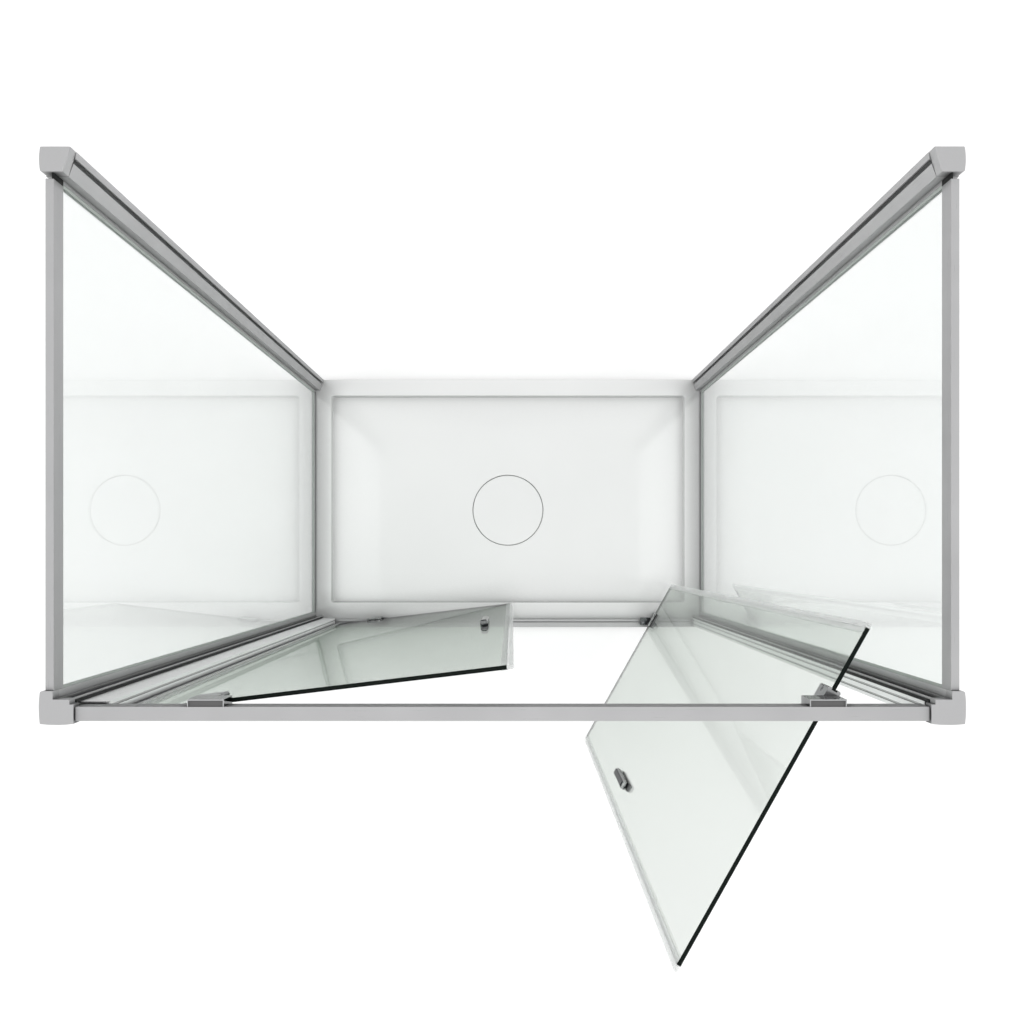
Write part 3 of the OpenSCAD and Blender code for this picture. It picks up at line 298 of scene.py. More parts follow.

# %% [markdown]
# ## Satin aluminium
# The profiles are extruded and then polished and anodised. Extrusion leaves fine die lines that run along
# the profile, so the noise is stretched a hundred times along that axis: X for the front rail and the
# threshold, Y for the side rails, Z for the uprights. The anodic film scatters light, which is why the
# metal is not a full mirror: part of the shader is diffuse. Shade is painted into the colour in grooves and
# corners. Each kind of upright is the same aluminium with its own painted tone and its own depth of painted
# shade: the jambs are painted lightest, as painted light, and the posts, the stiles and the wall profiles a
# little lighter than the rails.


# %% Aluminium with die lines along one axis
def satin_aluminium(name, axis, tones=(0.458, 0.498), reach=0.018, power=1.8, least=0.0, edge=0.25):
    """Polished and anodised extrusion, with its die lines along one axis. Edge is its tint at a glance."""
    tree, shader, _ = new_finish(name)
    lines = pattern(tree, tuple(0.01 if letter == axis else 1.0 for letter in "xyz"), 1400.0)
    clouds = pattern(tree, (1.0, 1.0, 1.0), 9.0, detail=2.0)
    tone = shades(tree, clouds, *((grey, grey, grey + 0.005) for grey in tones))
    # Painted shade: the colour is darkened in grooves and corners.
    paint_shade_in_grooves(tree, shader, tone, reach, power, least)
    join(tree, spread(tree, lines, 0.27, 0.42), "Result", shader, "Roughness")
    relief(tree, shader, lines, 0.00004, 0.35)
    shader.inputs["Metallic"].default_value = 0.5
    shader.inputs["Specular Tint"].default_value = (edge, edge, edge, 1.0)
    shader.inputs["Specular IOR Level"].default_value = 0.0


satin_aluminium("satin_aluminium_x", "x", least=0.5)
satin_aluminium("satin_aluminium_y", "y")
# Lighter copies of one aluminium for the uprights, painted light; the jambs are painted lightest.
satin_aluminium("satin_wall", "z", (0.54, 0.58), reach=0.006, power=0.1)
satin_aluminium("satin_stile", "z", (0.54, 0.58), reach=0.005, power=0.6)
satin_aluminium("satin_post", "z", (0.54, 0.58), reach=0.009, power=2.0)
satin_aluminium("jamb_painted_light", "z", (0.86, 0.90), reach=0.009, power=1.6, edge=1.0)
print("aluminium finishes:", [name for name in finishes if "satin" in name or "jamb" in name])

# %% [markdown]
# ## Moulded caps, polished fittings and the other metals
# The corner caps are plastic moulded in a silver colour: a fine even grain, with specks of metal pigment
# rather than lines. The brackets, clamps and handles are polished, so only faint wiping marks change their
# roughness. Polished metal is as dark as what it mirrors, so a dark reflection is painted into the plating
# of the handles' rims and of the brackets down on the threshold. Caps and plating also have shade painted
# into their grooves and corners. The connectors inside the rail are cast and stay rough, the waste ring is
# brushed stainless steel, and the screws are a darker steel.

# %% Silver plastic of the corner caps
tree, shader, _ = new_finish("silver_plastic")
grain = pattern(tree, (1.0, 1.0, 1.0), 2600.0, detail=2.0)
specks = put(tree, "ShaderNodeTexVoronoi", {"Scale": 3200.0})
speck_place = put(tree, "ShaderNodeTexCoord")
join(tree, speck_place, "Object", specks, "Vector")
tone = shades(tree, specks, (0.458, 0.458, 0.463), (0.498, 0.498, 0.503))
# Painted shade in the caps' grooves and corners.
paint_shade_in_grooves(tree, shader, tone, 0.010, 1.5)
join(tree, spread(tree, grain, 0.34, 0.46), "Result", shader, "Roughness")
relief(tree, shader, grain, 0.00005, 0.4)
shader.inputs["Metallic"].default_value = 0.35
shader.inputs["Specular Tint"].default_value = (0.4, 0.4, 0.4, 1.0)
shader.inputs["Specular IOR Level"].default_value = 0.1

# %% Polished plating of the fittings
def polished_plating(name, tones, power):
    """Plating over a casting, with wiping marks, a trace of orange peel and painted shade in its hollows."""
    tree, shader, _ = new_finish(name)
    wipes = pattern(tree, (1.0, 1.0, 0.25), 60.0, detail=5.0)
    orange_peel = pattern(tree, (1.0, 1.0, 1.0), 420.0, detail=1.0)
    tone = shades(tree, wipes, *((grey, grey + 0.005, grey + 0.01) for grey in tones))
    # Painted shade: the plating is darkened in grooves and corners.
    paint_shade_in_grooves(tree, shader, tone, 0.020, power)
    join(tree, spread(tree, wipes, 0.06, 0.15), "Result", shader, "Roughness")
    relief(tree, shader, orange_peel, 0.00003, 0.25)
    shader.inputs["Metallic"].default_value = 1.0
    shader.inputs["Specular Tint"].default_value = (0.5, 0.5, 0.5, 1.0)


polished_plating("polished_plating", (0.46, 0.52), 1.5)
polished_plating("bracket_plating", (0.46, 0.52), 0.6)
# Two dark copies of the plating: painted shade for the bottom brackets, a painted dark reflection for rims.
polished_plating("plating_painted_shade", (0.09, 0.13), 1.0)
polished_plating("rim_painted_reflection", (0.05, 0.07), 1.0)

# %% Cast metal, brushed steel and the darker steel of the screws
plain_finish("cast_metal", ((1.0, 1.0, 1.0), 700.0, 6.0, 0.7),
             ((0.30, 0.30, 0.31), (0.42, 0.42, 0.43)), (0.5, 0.75), (0.0002, 0.6), {"Metallic": 0.9})
for name, tones in (("brushed_steel", (0.44, 0.60)), ("screw_steel", (0.16, 0.24))):
    plain_finish(name, ((0.03, 1.0, 1.0), 1800.0), [(grey, grey, grey + 0.01) for grey in tones],
                 (0.2, 0.36), (0.00003, 0.3), {"Metallic": 1.0})
print("metal finishes:", sorted(finishes))

# %% [markdown]
# ## Glass
# Toughened glass is clear through its faces and dark green at its edges, because light that enters an edge
# travels the whole width of the pane. The faces are a refracting shader with a faint green tint, a little
# stronger in the doors, with water marks in the roughness. The edges are ground, so they are a separate
# finish: dark, green and dull. Shadow rays and scattered light pass the faces straight, because a path
# tracer can't find the light behind refracting glass in a few samples. The doors are seen nearly edge-on,
# where bare glass would be a mirror. They have a coating that reflects less, so a share of the view also
# goes straight through, and its tint deepens with the length of glass that it crosses.


# %% Clear faces and ground edges
def clear_glass(name, tint, shade, gleam, haze=0.012):
    """A pane's faces: refracting to the eye, and a thin tinted film to shadow rays and scattered light.

    Tint is the glass as seen, shade the film, gleam the tint of its mirror images, haze its water marks."""
    tree, shader, output = new_finish(name)
    marks = pattern(tree, (1.0, 1.0, 0.3), 30.0, detail=6.0, rough=0.7)
    join(tree, spread(tree, marks, 0.0, haze), "Result", shader, "Roughness")
    clearer = tuple(min(1.0, part * 1.01) for part in tint)
    join(tree, shades(tree, marks, tint, clearer), "Color", shader, "Base Color")
    shader.inputs["Transmission Weight"].default_value = 1.0
    shader.inputs["IOR"].default_value = 1.5
    shader.inputs["Specular Tint"].default_value = (*gleam, 1.0)
    path = put(tree, "ShaderNodeLightPath")
    unseen = put(tree, "ShaderNodeMath", operation="MAXIMUM")
    film = put(tree, "ShaderNodeBsdfTransparent", {"Color": (*shade, 1.0)})
    choice = put(tree, "ShaderNodeMixShader")
    join(tree, path, "Is Shadow Ray", unseen, 0)
    join(tree, path, "Is Diffuse Ray", unseen, 1)
    join(tree, unseen, 0, choice, "Fac")
    join(tree, shader, "BSDF", choice, 1)
    join(tree, film, "BSDF", choice, 2)
    join(tree, choice, "Shader", output, "Surface")
    return tree, path, choice


def coat_glass(pane, share, body):
    """Lets a share of the view straight through a pane, tinted by the length of glass that it crosses.

    A view that went straight in has crossed an odd number of films, and also goes straight out."""
    tree, path, choice = pane
    facing = put(tree, "ShaderNodeLayerWeight", {"Blend": 0.5})
    slant = put(tree, "ShaderNodeMath", {0: 1.0}, operation="SUBTRACT")
    least = put(tree, "ShaderNodeMath", {1: 0.04}, operation="MAXIMUM")
    length = put(tree, "ShaderNodeMath", {0: 1.0}, operation="DIVIDE")
    depth = put(tree, "ShaderNodeGamma", {"Color": (*body, 1.0)})
    film = put(tree, "ShaderNodeBsdfTransparent")
    face = put(tree, "ShaderNodeNewGeometry")
    inside = put(tree, "ShaderNodeMath", {1: 2.0}, operation="MODULO")
    part = put(tree, "ShaderNodeMix", {"A": share})
    coated = put(tree, "ShaderNodeMixShader")
    join(tree, facing, "Facing", slant, 1)
    join(tree, slant, 0, least, 0)
    join(tree, least, 0, length, 1)
    join(tree, length, 0, depth, "Gamma")
    join(tree, depth, "Color", film, "Color")
    join(tree, path, "Transparent Depth", inside, 0)
    join(tree, face, "Backfacing", part, "Factor")
    join(tree, inside, 0, part, "B")
    join(tree, part, "Result", coated, "Fac")
    join(tree, choice.inputs[1].links[0].from_node, "BSDF", coated, 1)
    join(tree, film, "BSDF", coated, 2)
    join(tree, coated, "Shader", choice, 1)


clear_glass("side_pane_glass", (0.865, 0.885, 0.877), (0.97, 0.985, 0.975), (0.95, 0.96, 0.955))
door_pane = clear_glass(
    "door_pane_glass", (0.80, 0.828, 0.802), (0.92, 0.94, 0.925), (0.40, 0.44, 0.415), haze=0.05
)
coat_glass(door_pane, 0.5, (0.957, 0.963, 0.958))
plain_finish("ground_glass_edge", ((1.0, 1.0, 1.0), 900.0, 5.0),
             ((0.003, 0.005, 0.004), (0.008, 0.012, 0.010)), (0.18, 0.34), (0.00005, 0.4),
             {"IOR": 1.5, "Specular IOR Level": 0.08})
print("glass finishes:", [name for name in finishes if "glass" in name])

# %% [markdown]
# ## Seals, rubber, nylon and gel coat
# The door seals are soft clear plastic: light goes through them but nothing behind them is sharp. Glazing
# rubber is black and matt with a dusty bloom, and the beads beside the glass are a light grey kind of it.
# The blocks in the bracket pockets are a dark grey that stands for the shade there, and the bushes are
# natural nylon. The tray is sprayed with white gel coat, which is glossy with a long, shallow ripple from
# the mould; shade is painted into it near other surfaces.

# %% Clear plastic, rubber, the dark grey of the pocket shade and nylon
plain_finish("clear_soft_plastic", ((1.0, 1.0, 0.02), 900.0),
             ((0.84, 0.86, 0.85), (0.88, 0.90, 0.89)), (0.22, 0.36), (0.00005, 0.4),
             {"Alpha": 0.30, "IOR": 1.45})
RUBBER_NOISE = ((1.0, 1.0, 0.2), 500.0, 5.0)
plain_finish("glazing_rubber", RUBBER_NOISE, ((0.008, 0.008, 0.008), (0.018, 0.019, 0.019)),
             (0.5, 0.7), (0.0001, 0.4), {"Specular IOR Level": 0.2})
plain_finish("light_bead_rubber", RUBBER_NOISE, ((0.36, 0.39, 0.37), (0.44, 0.47, 0.45)),
             (0.5, 0.7), (0.0001, 0.4), {"Specular IOR Level": 0.2})
plain_finish("shade_block_grey", ((1.0, 1.0, 1.0), 2400.0, 3.0),
             ((0.115, 0.115, 0.115), (0.135, 0.135, 0.135)), (0.45, 0.6), (0.00008, 0.4),
             {"Specular IOR Level": 0.2})
plain_finish("natural_nylon", ((1.0, 1.0, 0.3), 600.0), ((0.74, 0.74, 0.70), (0.80, 0.80, 0.77)),
             (0.35, 0.5), (0.00005, 0.3),
             {"Subsurface Weight": 0.1, "Subsurface Radius": (0.002, 0.002, 0.002)})

# %% White gel coat of the tray
tree, shader, _ = new_finish("white_gel_coat")
ripple = pattern(tree, (1.0, 1.0, 1.0), 22.0, detail=3.0)
cast = pattern(tree, (1.0, 1.0, 1.0), 3.0, detail=2.0)
tone = shades(tree, cast, (0.857, 0.859, 0.859), (0.877, 0.878, 0.877))
# Painted shade: the gel coat is darkened near rails, corners and round the waste cover.
paint_shade_in_grooves(tree, shader, tone, 0.09, 0.9, least=0.60)
join(tree, spread(tree, ripple, 0.05, 0.10), "Result", shader, "Roughness")
relief(tree, shader, ripple, 0.0004, 0.04)
shader.inputs["Coat Weight"].default_value = 0.3
shader.inputs["Coat Roughness"].default_value = 0.04
print("finishes:", len(finishes))

# %% [markdown]
# ## Eased edges
# No real edge is sharp: extrusions leave the die with a small radius, castings are tumbled and glass is
# arrised. CAD meshes come as loose triangles, so a copy is welded, its flat triangles are joined into whole
# faces, and a bevel rounds every edge that turns more than a few degrees. Hardened normals keep the flats
# flat. The CAD node itself is left alone and hidden, and the eased piece stands for it.


# %% Welding a CAD node and easing its edges
def welded_mesh(node):
    """A joined copy of a CAD node's mesh, with whole flat faces."""
    mesh = nodes[node].data.copy()
    mesh.name = node + "_eased"
    mesh.materials.clear()
    normals = mesh.attributes.get("custom_normal")
    if normals:
        mesh.attributes.remove(normals)
    shell = bmesh.new()
    shell.from_mesh(mesh)
    bmesh.ops.remove_doubles(shell, verts=shell.verts, dist=0.000002)
    bmesh.ops.dissolve_limit(
        shell, angle_limit=math.radians(0.4), use_dissolve_boundaries=False,
        verts=shell.verts, edges=shell.edges,
    )
    for face in shell.faces:
        face.smooth = True
        face.material_index = 0
    shell.to_mesh(mesh)
    shell.free()
    return mesh


def settle(piece, node):
    """Puts a finished piece on its node's body, in place of the node."""
    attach(piece, body_of_node[node])
    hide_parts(node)
    waiting.discard(node)
    return piece


def ease_edges(node, finish, radius, segments=3, turn=35.0):
    """An eased copy of a CAD node, which replaces it."""
    mesh = welded_mesh(node)
    mesh.materials.append(finishes[finish])
    mesh.set_sharp_from_angle(angle=math.radians(turn))
    piece = bpy.data.objects.new(node + "_eased", mesh)
    bpy.context.scene.collection.objects.link(piece)
    bevel = piece.modifiers.new("eased", "BEVEL")
    bevel.width = radius
    bevel.segments = segments
    bevel.limit_method = "ANGLE"
    bevel.angle_limit = math.radians(turn)
    bevel.use_clamp_overlap = True
    bevel.harden_normals = True
    bevel.miter_outer = "MITER_ARC"
    return settle(piece, node)


print("easing ready")

# %% [markdown]
# ## Frame
# The uprights, rails, threshold and jambs are extrusions and get a radius of a fraction of a millimetre.
# The caps are moulded and have a softer edge. The finish is chosen by the way each profile runs.

# %% Profiles, by the way they run
FINISH_OF_PROFILE = {
    "wall_profile": "satin_wall", "rear_stile": "satin_stile", "front_post": "satin_post",
    "jamb": "jamb_painted_light", "side_top_rail": "satin_aluminium_y", "side_bottom_rail": "satin_aluminium_y",
}
for name, finish in FINISH_OF_PROFILE.items():
    for side in ("left", "right"):
        ease_edges(f"{name}_{side}", finish, 0.0004, segments=2)
ease_edges("front_top_rail", "satin_aluminium_x", 0.0006)
ease_edges("threshold", "satin_aluminium_x", 0.0005, segments=2)
print("profiles eased:", 2 * len(FINISH_OF_PROFILE) + 2)

# %% Corner caps and the cast connectors
for side in ("left", "right"):
    ease_edges("front_cap_" + side, "silver_plastic", 0.0012)
    ease_edges("rear_cap_" + side, "silver_plastic", 0.0012)
ease_edges("rail_connectors", "cast_metal", 0.0004, segments=2)
print("caps and connectors eased")

# %% Glazing rubber, with light beads in the upright pockets
# The glazing seals also hold a black strip in each post's channel, standing for the shade in the channel.
BEAD_REACH = 0.003
for side in ("left", "right"):
    seals = ease_edges("glazing_seals_" + side, "glazing_rubber", 0.0003, segments=2)
    seals.data.materials.append(finishes["light_bead_rubber"])
    pane_low, pane_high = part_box("side_glass_" + side)
    pane_inner = min(abs(pane_low.x), abs(pane_high.x))
    rail_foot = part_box("side_top_rail_" + side)[0].z
    beads = [
        face for face in seals.data.polygons
        if abs(face.center.x) > pane_inner - BEAD_REACH and face.center.z < rail_foot
    ]
    for face in beads:
        face.material_index = 1
    print(side, "bead faces:", len(beads))

# %% [markdown]
# ## Tray
# The tray is one moulding, so all its edges are round: the rim, the step down into the basin and the edge
# of the round recess. A wide bevel gives the highlights that show the step in the photograph.

# %% Tray
ease_edges("tray", "white_gel_coat", 0.0022, segments=4, turn=25.0)
print("tray faces:", len(nodes["tray"].data.polygons))

# %% [markdown]
# ## Panes
# Each pane is a welded copy of its solid with two finishes: faces that look along the pane's thickness are
# clear, and the rest, with the arris that the bevel cuts, are ground. The pane's thickness direction is
# found from its own largest face.


# %% A pane with clear faces and ground edges
def glaze(node, finish):
    """An arrised pane: clear faces, ground edges, holes and notches."""
    mesh = welded_mesh(node)
    mesh.materials.append(finishes[finish])
    mesh.materials.append(finishes["ground_glass_edge"])
    across = max(mesh.polygons, key=lambda face: face.area).normal.copy()
    for face in mesh.polygons:
        face.material_index = 0 if abs(face.normal.dot(across)) > 0.99 else 1
        face.use_smooth = False
    piece = bpy.data.objects.new(node + "_pane", mesh)
    bpy.context.scene.collection.objects.link(piece)
    arris = piece.modifiers.new("arris", "BEVEL")
    arris.width = 0.0008
    arris.segments = 1
    arris.limit_method = "ANGLE"
    arris.angle_limit = math.radians(50.0)
    arris.use_clamp_overlap = True
    arris.material = 1
    return settle(piece, node)


for side in ("left", "right"):
    glaze("side_glass_" + side, "side_pane_glass")
    glaze(side + "_door_glass", "door_pane_glass")
print("panes: 4")

# %% [markdown]
# ## Fittings
# The pivot brackets, the clamps that grip the glass and the handles are polished metal. Their edges are
# finished by hand, so they get a slightly larger radius than the extrusions, and the handles the largest. A
# top bracket is a casting with a pocket in its top, and a dark grey block sits in the pocket just below the
# rim, standing for the shade in it. A handle's rims mirror the dark sides of the room, so a narrow band
# along its edges is cut off and given a painted dark reflection.

# %% Brackets and clamps
for side in ("left", "right"):
    # The bottom brackets are painted dark: painted shade down on the threshold.
    ease_edges("bottom_bracket_" + side, "plating_painted_shade", 0.0005)
    ease_edges("top_bracket_" + side, "bracket_plating", 0.0005)
    for level in ("top", "bottom"):
        for half in ("outer", "inner"):
            ease_edges(f"{side}_{level}_clamp_{half}", "polished_plating", 0.0004, segments=2)
print("brackets and clamps eased: 12")

# %% Dark grey blocks in the pockets of the top brackets, standing for painted shade
POCKET_WALL, POCKET_DEPTH, SHADE_BLOCK_GAP, SHADE_BLOCK_SUNK = 0.0017, 0.014, 0.0002, 0.0012
rail_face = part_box("front_top_rail")[1].y
for side in ("left", "right"):
    low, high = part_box("top_bracket_" + side)
    inset = POCKET_WALL + SHADE_BLOCK_GAP
    shade_block_low = Vector((low.x + inset, rail_face + SHADE_BLOCK_GAP, high.z - POCKET_DEPTH))
    shade_block_high = Vector((high.x - inset, high.y - inset, high.z - SHADE_BLOCK_SUNK))
    block = bmesh.new()
    bmesh.ops.create_cube(block, size=1.0)
    for corner in block.verts:
        corner.co = [b if c > 0 else a for a, b, c in zip(shade_block_low, shade_block_high, corner.co)]
    bmesh.ops.bevel(block, geom=block.edges[:], offset=0.0004, segments=2, affect="EDGES")
    mesh = bpy.data.meshes.new("bracket_plug_" + side)
    block.to_mesh(mesh)
    block.free()
    mesh.materials.append(finishes["shade_block_grey"])
    shade_block = bpy.data.objects.new("bracket_plug_" + side, mesh)
    bpy.context.scene.collection.objects.link(shade_block)
    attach(shade_block, body_of_node["top_bracket_" + side])
    print("shade_block", side, [round(1000 * (b - a), 1) for a, b in zip(shade_block_low, shade_block_high)])

# %% Handles, bright on their flats, with a painted dark reflection round their rims
RIM = 0.0022


def paint_rim_reflections(mesh):
    """Cuts a narrow rim along a handle's edges and gives it the second finish, a painted dark reflection."""
    shell = bmesh.new()
    shell.from_mesh(mesh)
    broad = max(shell.faces, key=lambda face: face.calc_area())
    across = broad.normal.copy()
    depths = [corner.co.dot(across) for corner in shell.verts]
    low, high = min(depths) + RIM, max(depths) - RIM
    for depth in (low, high):
        whole = [*shell.verts, *shell.edges, *shell.faces]
        bmesh.ops.bisect_plane(shell, geom=whole, plane_co=across * depth, plane_no=across)
    for face in shell.faces:
        face.material_index = 0 if low < face.calc_center_median().dot(across) < high else 1
    broad = max(shell.faces, key=lambda face: face.calc_area())
    bmesh.ops.inset_individual(shell, faces=[broad], thickness=RIM, use_even_offset=True)
    broad.material_index = 0
    shell.to_mesh(mesh)
    shell.free()


for side in ("left", "right"):
    for half in ("outer", "inner"):
        handle = ease_edges(f"{side}_handle_{half}", "polished_plating", 0.0007)
        handle.data.materials.append(finishes["rim_painted_reflection"])
        paint_rim_reflections(handle.data)
        handle.data.set_sharp_from_angle(angle=math.radians(35.0))
print("handles: 4")

# %% [markdown]
# ## Geometry Nodes: building and running a tree
# What repeats is made by Geometry Nodes. A tree is built here in code with named inputs, its modifier's
# inputs are set by the socket's identifier, and the evaluated result becomes a plain mesh, so that nothing
# live is left.


# %% Building a tree and turning its result into a mesh
def new_grower(name, inputs):
    """A Geometry Nodes tree with named inputs. Returns it with its ends and the inputs' identifiers."""
    tree = bpy.data.node_groups.new(name, "GeometryNodeTree")
    tree.interface.new_socket("Geometry", in_out="INPUT", socket_type="NodeSocketGeometry")
    keys = {}
    for label, kind in inputs:
        socket = tree.interface.new_socket(label, in_out="INPUT", socket_type="NodeSocket" + kind)
        keys[label] = socket.identifier
    tree.interface.new_socket("Geometry", in_out="OUTPUT", socket_type="NodeSocketGeometry")
    return tree, put(tree, "NodeGroupInput"), put(tree, "NodeGroupOutput"), keys


def grow(name, seed_mesh, tree, keys, values):
    """Runs a tree on a mesh and keeps the result as a piece of its own."""
    seed = bpy.data.objects.new(name + "_seed", seed_mesh)
    bpy.context.scene.collection.objects.link(seed)
    modifier = seed.modifiers.new("grow", "NODES")
    modifier.node_group = tree
    for label, value in values.items():
        modifier[keys[label]] = value
    scene_state = bpy.context.evaluated_depsgraph_get()
    mesh = bpy.data.meshes.new_from_object(
        seed.evaluated_get(scene_state), preserve_all_data_layers=True, depsgraph=scene_state
    )
    mesh.name = name
    seed.modifiers.remove(modifier)
    bpy.data.objects.remove(seed)
    piece = bpy.data.objects.new(name, mesh)
    bpy.context.scene.collection.objects.link(piece)
    print(name, "faces:", len(mesh.polygons))
    return piece


def finish_tree(tree, source, group_in, group_out):
    """Ends a tree: real geometry, one finish, out."""
    real = put(tree, "GeometryNodeRealizeInstances")
    paint = put(tree, "GeometryNodeSetMaterial")
    join(tree, source[0], source[1], real, "Geometry")
    join(tree, real, "Geometry", paint, "Geometry")
    join(tree, group_in, "Finish", paint, "Material")
    join(tree, paint, "Geometry", group_out, "Geometry")


# %% [markdown]
# ## Screws
# All screws are one tree: a turned head on a shank with a recess cut in the head. The recess is a prism on
# a star outline, with four points for a cross and twelve corners for a hexagon socket. The seed is a mesh
# of points, one for each screw, which carry the direction that the head looks in.

# %% The screw tree
screw_tree, screw_in, screw_out, screw_keys = new_grower("screws_on_points", [
    ("Head Radius", "Float"), ("Head Height", "Float"), ("Shank Radius", "Float"), ("Shank Length", "Float"),
    ("Recess Points", "Int"), ("Recess Outer", "Float"), ("Recess Inner", "Float"), ("Recess Depth", "Float"),
    ("Finish", "Material"),
])


def lowered(tree, source, entry, share):
    """A vector that moves something down by a share of a length."""
    part = put(tree, "ShaderNodeMath", {1: -share}, operation="MULTIPLY")
    down = put(tree, "ShaderNodeCombineXYZ")
    join(tree, source, entry, part, 0)
    join(tree, part, 0, down, "Z")
    return down


def solid_bar(tree, group_in, radius, length, sides):
    """A cylinder of that radius and length whose top is at zero."""
    bar = put(tree, "GeometryNodeMeshCylinder", {"Vertices": sides})
    move = put(tree, "GeometryNodeTransform")
    join(tree, group_in, radius, bar, "Radius")
    join(tree, group_in, length, bar, "Depth")
    join(tree, bar, "Mesh", move, "Geometry")
    join(tree, lowered(tree, group_in, length, 0.5), "Vector", move, "Translation")
    return move


head = solid_bar(screw_tree, screw_in, "Head Radius", "Head Height", 32)
shank = solid_bar(screw_tree, screw_in, "Shank Radius", "Shank Length", 24)
shank_down = put(screw_tree, "GeometryNodeTransform")
join(screw_tree, shank, "Geometry", shank_down, "Geometry")
join(screw_tree, lowered(screw_tree, screw_in, "Head Height", 0.5), "Vector", shank_down, "Translation")
star = put(screw_tree, "GeometryNodeCurveStar")
join(screw_tree, screw_in, "Recess Points", star, "Points")
join(screw_tree, screw_in, "Recess Inner", star, "Inner Radius")
join(screw_tree, screw_in, "Recess Outer", star, "Outer Radius")
rail = put(screw_tree, "GeometryNodeCurvePrimitiveLine", {"Start": (0.0, 0.0, 0.002)})
join(screw_tree, lowered(screw_tree, screw_in, "Recess Depth", 1.0), "Vector", rail, "End")
cutter = put(screw_tree, "GeometryNodeCurveToMesh", {"Fill Caps": True})
join(screw_tree, rail, "Curve", cutter, "Curve")
join(screw_tree, star, "Curve", cutter, "Profile Curve")
whole = put(screw_tree, "GeometryNodeMeshBoolean", operation="UNION", solver="EXACT")
join(screw_tree, head, "Geometry", whole, "Mesh 2")
join(screw_tree, shank_down, "Geometry", whole, "Mesh 2")
recessed = put(screw_tree, "GeometryNodeMeshBoolean", operation="DIFFERENCE", solver="EXACT")
join(screw_tree, whole, "Mesh", recessed, "Mesh 1")
join(screw_tree, cutter, "Mesh", recessed, "Mesh 2")
way = put(screw_tree, "GeometryNodeInputNamedAttribute", {"Name": "way"}, data_type="FLOAT_VECTOR")
aim = put(screw_tree, "FunctionNodeAlignRotationToVector", axis="Z")
join(screw_tree, way, "Attribute", aim, "Vector")
placed = put(screw_tree, "GeometryNodeInstanceOnPoints")
join(screw_tree, screw_in, "Geometry", placed, "Points")
join(screw_tree, recessed, "Mesh", placed, "Instance")
join(screw_tree, aim, "Rotation", placed, "Rotation")
finish_tree(screw_tree, (placed, "Instances"), screw_in, screw_out)
print("screw tree nodes:", len(screw_tree.nodes))


# %% Placing screws
def screw_points(name, places):
    """A mesh of points, each with the way its screw's head looks."""
    mesh = bpy.data.meshes.new(name)
    mesh.from_pydata([place for place, _ in places], [], [])
    ways = mesh.attributes.new("way", "FLOAT_VECTOR", "POINT")
    ways.data.foreach_set("vector", [number for _, look in places for number in look])
    return mesh


def drive_screws(node, places, head_width, head_height, shank_width, length, recess):
    """The screws of one CAD node, as one piece that replaces it."""
    points, outer, inner, depth = recess
    piece = grow(node + "_driven", screw_points(node, places), screw_tree, screw_keys, {
        "Head Radius": head_width / 2, "Head Height": head_height, "Shank Radius": shank_width / 2,
        "Shank Length": length - head_height / 2, "Recess Points": points, "Recess Outer": outer,
        "Recess Inner": inner, "Recess Depth": depth, "Finish": finishes["screw_steel"],
    })
    return settle(piece, node)


CROSS = (4, 0.0020, 0.0007, 0.0010)
SHALLOW_CROSS = (4, 0.0020, 0.0007, 0.0008)
HEXAGON = (6, 0.0017, 0.0017 * math.cos(math.radians(30.0)), 0.0013)
pin_low, pin_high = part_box("pivot_pins")
PIN_RADIUS = 0.004
PIVOT_X = {"left": pin_low.x + PIN_RADIUS, "right": pin_high.x - PIN_RADIUS}
PIVOT_Y = (pin_low.y + pin_high.y) / 2
print("pivots:", PIVOT_X, PIVOT_Y)

# %% Frame screws on the rear stiles
screw_low, screw_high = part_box("frame_screws")
HEAD_RADIUS = 0.00375
screw_y = (screw_low.y + screw_high.y) / 2
screw_heights = [
    screw_low.z + HEAD_RADIUS,
    (screw_low.z + screw_high.z) / 2,
    screw_high.z - HEAD_RADIUS,
]
frame_places = [
    ((edge, screw_y, height), (math.copysign(1.0, edge), 0.0, 0.0))
    for edge in (screw_low.x, screw_high.x)
    for height in screw_heights
]
drive_screws("frame_screws", frame_places, head_width=2 * HEAD_RADIUS, head_height=0.0012,
             shank_width=0.004, length=0.0035, recess=SHALLOW_CROSS)

# %% [markdown]
# ## Where a door is
# A door's pieces are drawn from its pivot along the glass, and then turned by the angle at which it stands
# open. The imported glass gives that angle: its longest flat edge runs along the door.


# %% From a door's own directions to the frame
def door_run(side):
    """Unit vector from a door's pivot along its glass to its free end."""
    mesh = nodes[side + "_door_glass"].data
    pivot = Vector((PIVOT_X[side], PIVOT_Y, 0.0))
    far = max(mesh.vertices, key=lambda v: (Vector((v.co.x, v.co.y, 0.0)) - pivot).length)
    top = far.co.z
    ends = [
        Vector((v.co.x, v.co.y, 0.0)) for v in mesh.vertices
        if abs((Vector((v.co.x, v.co.y, 0.0)) - pivot).length
               - (Vector((far.co.x, far.co.y, 0.0)) - pivot).length) < 0.00005
    ]
    middle = sum(ends, Vector()) / len(ends)
    print(side, "door: free end", tuple(round(c, 4) for c in middle), "top", round(top, 4))
    return (middle - pivot).normalized()


DOOR_RUN = {side: door_run(side) for side in ("left", "right")}


def on_door(side, along, through, height=0.0):
    """A point on a door: along the glass from the pivot, and through it towards the inner face."""
    run = DOOR_RUN[side]
    inner = Vector((-run.y, run.x, 0.0)) * (1.0 if side == "left" else -1.0)
    return Vector((PIVOT_X[side], PIVOT_Y, height)) + run * along + inner * through


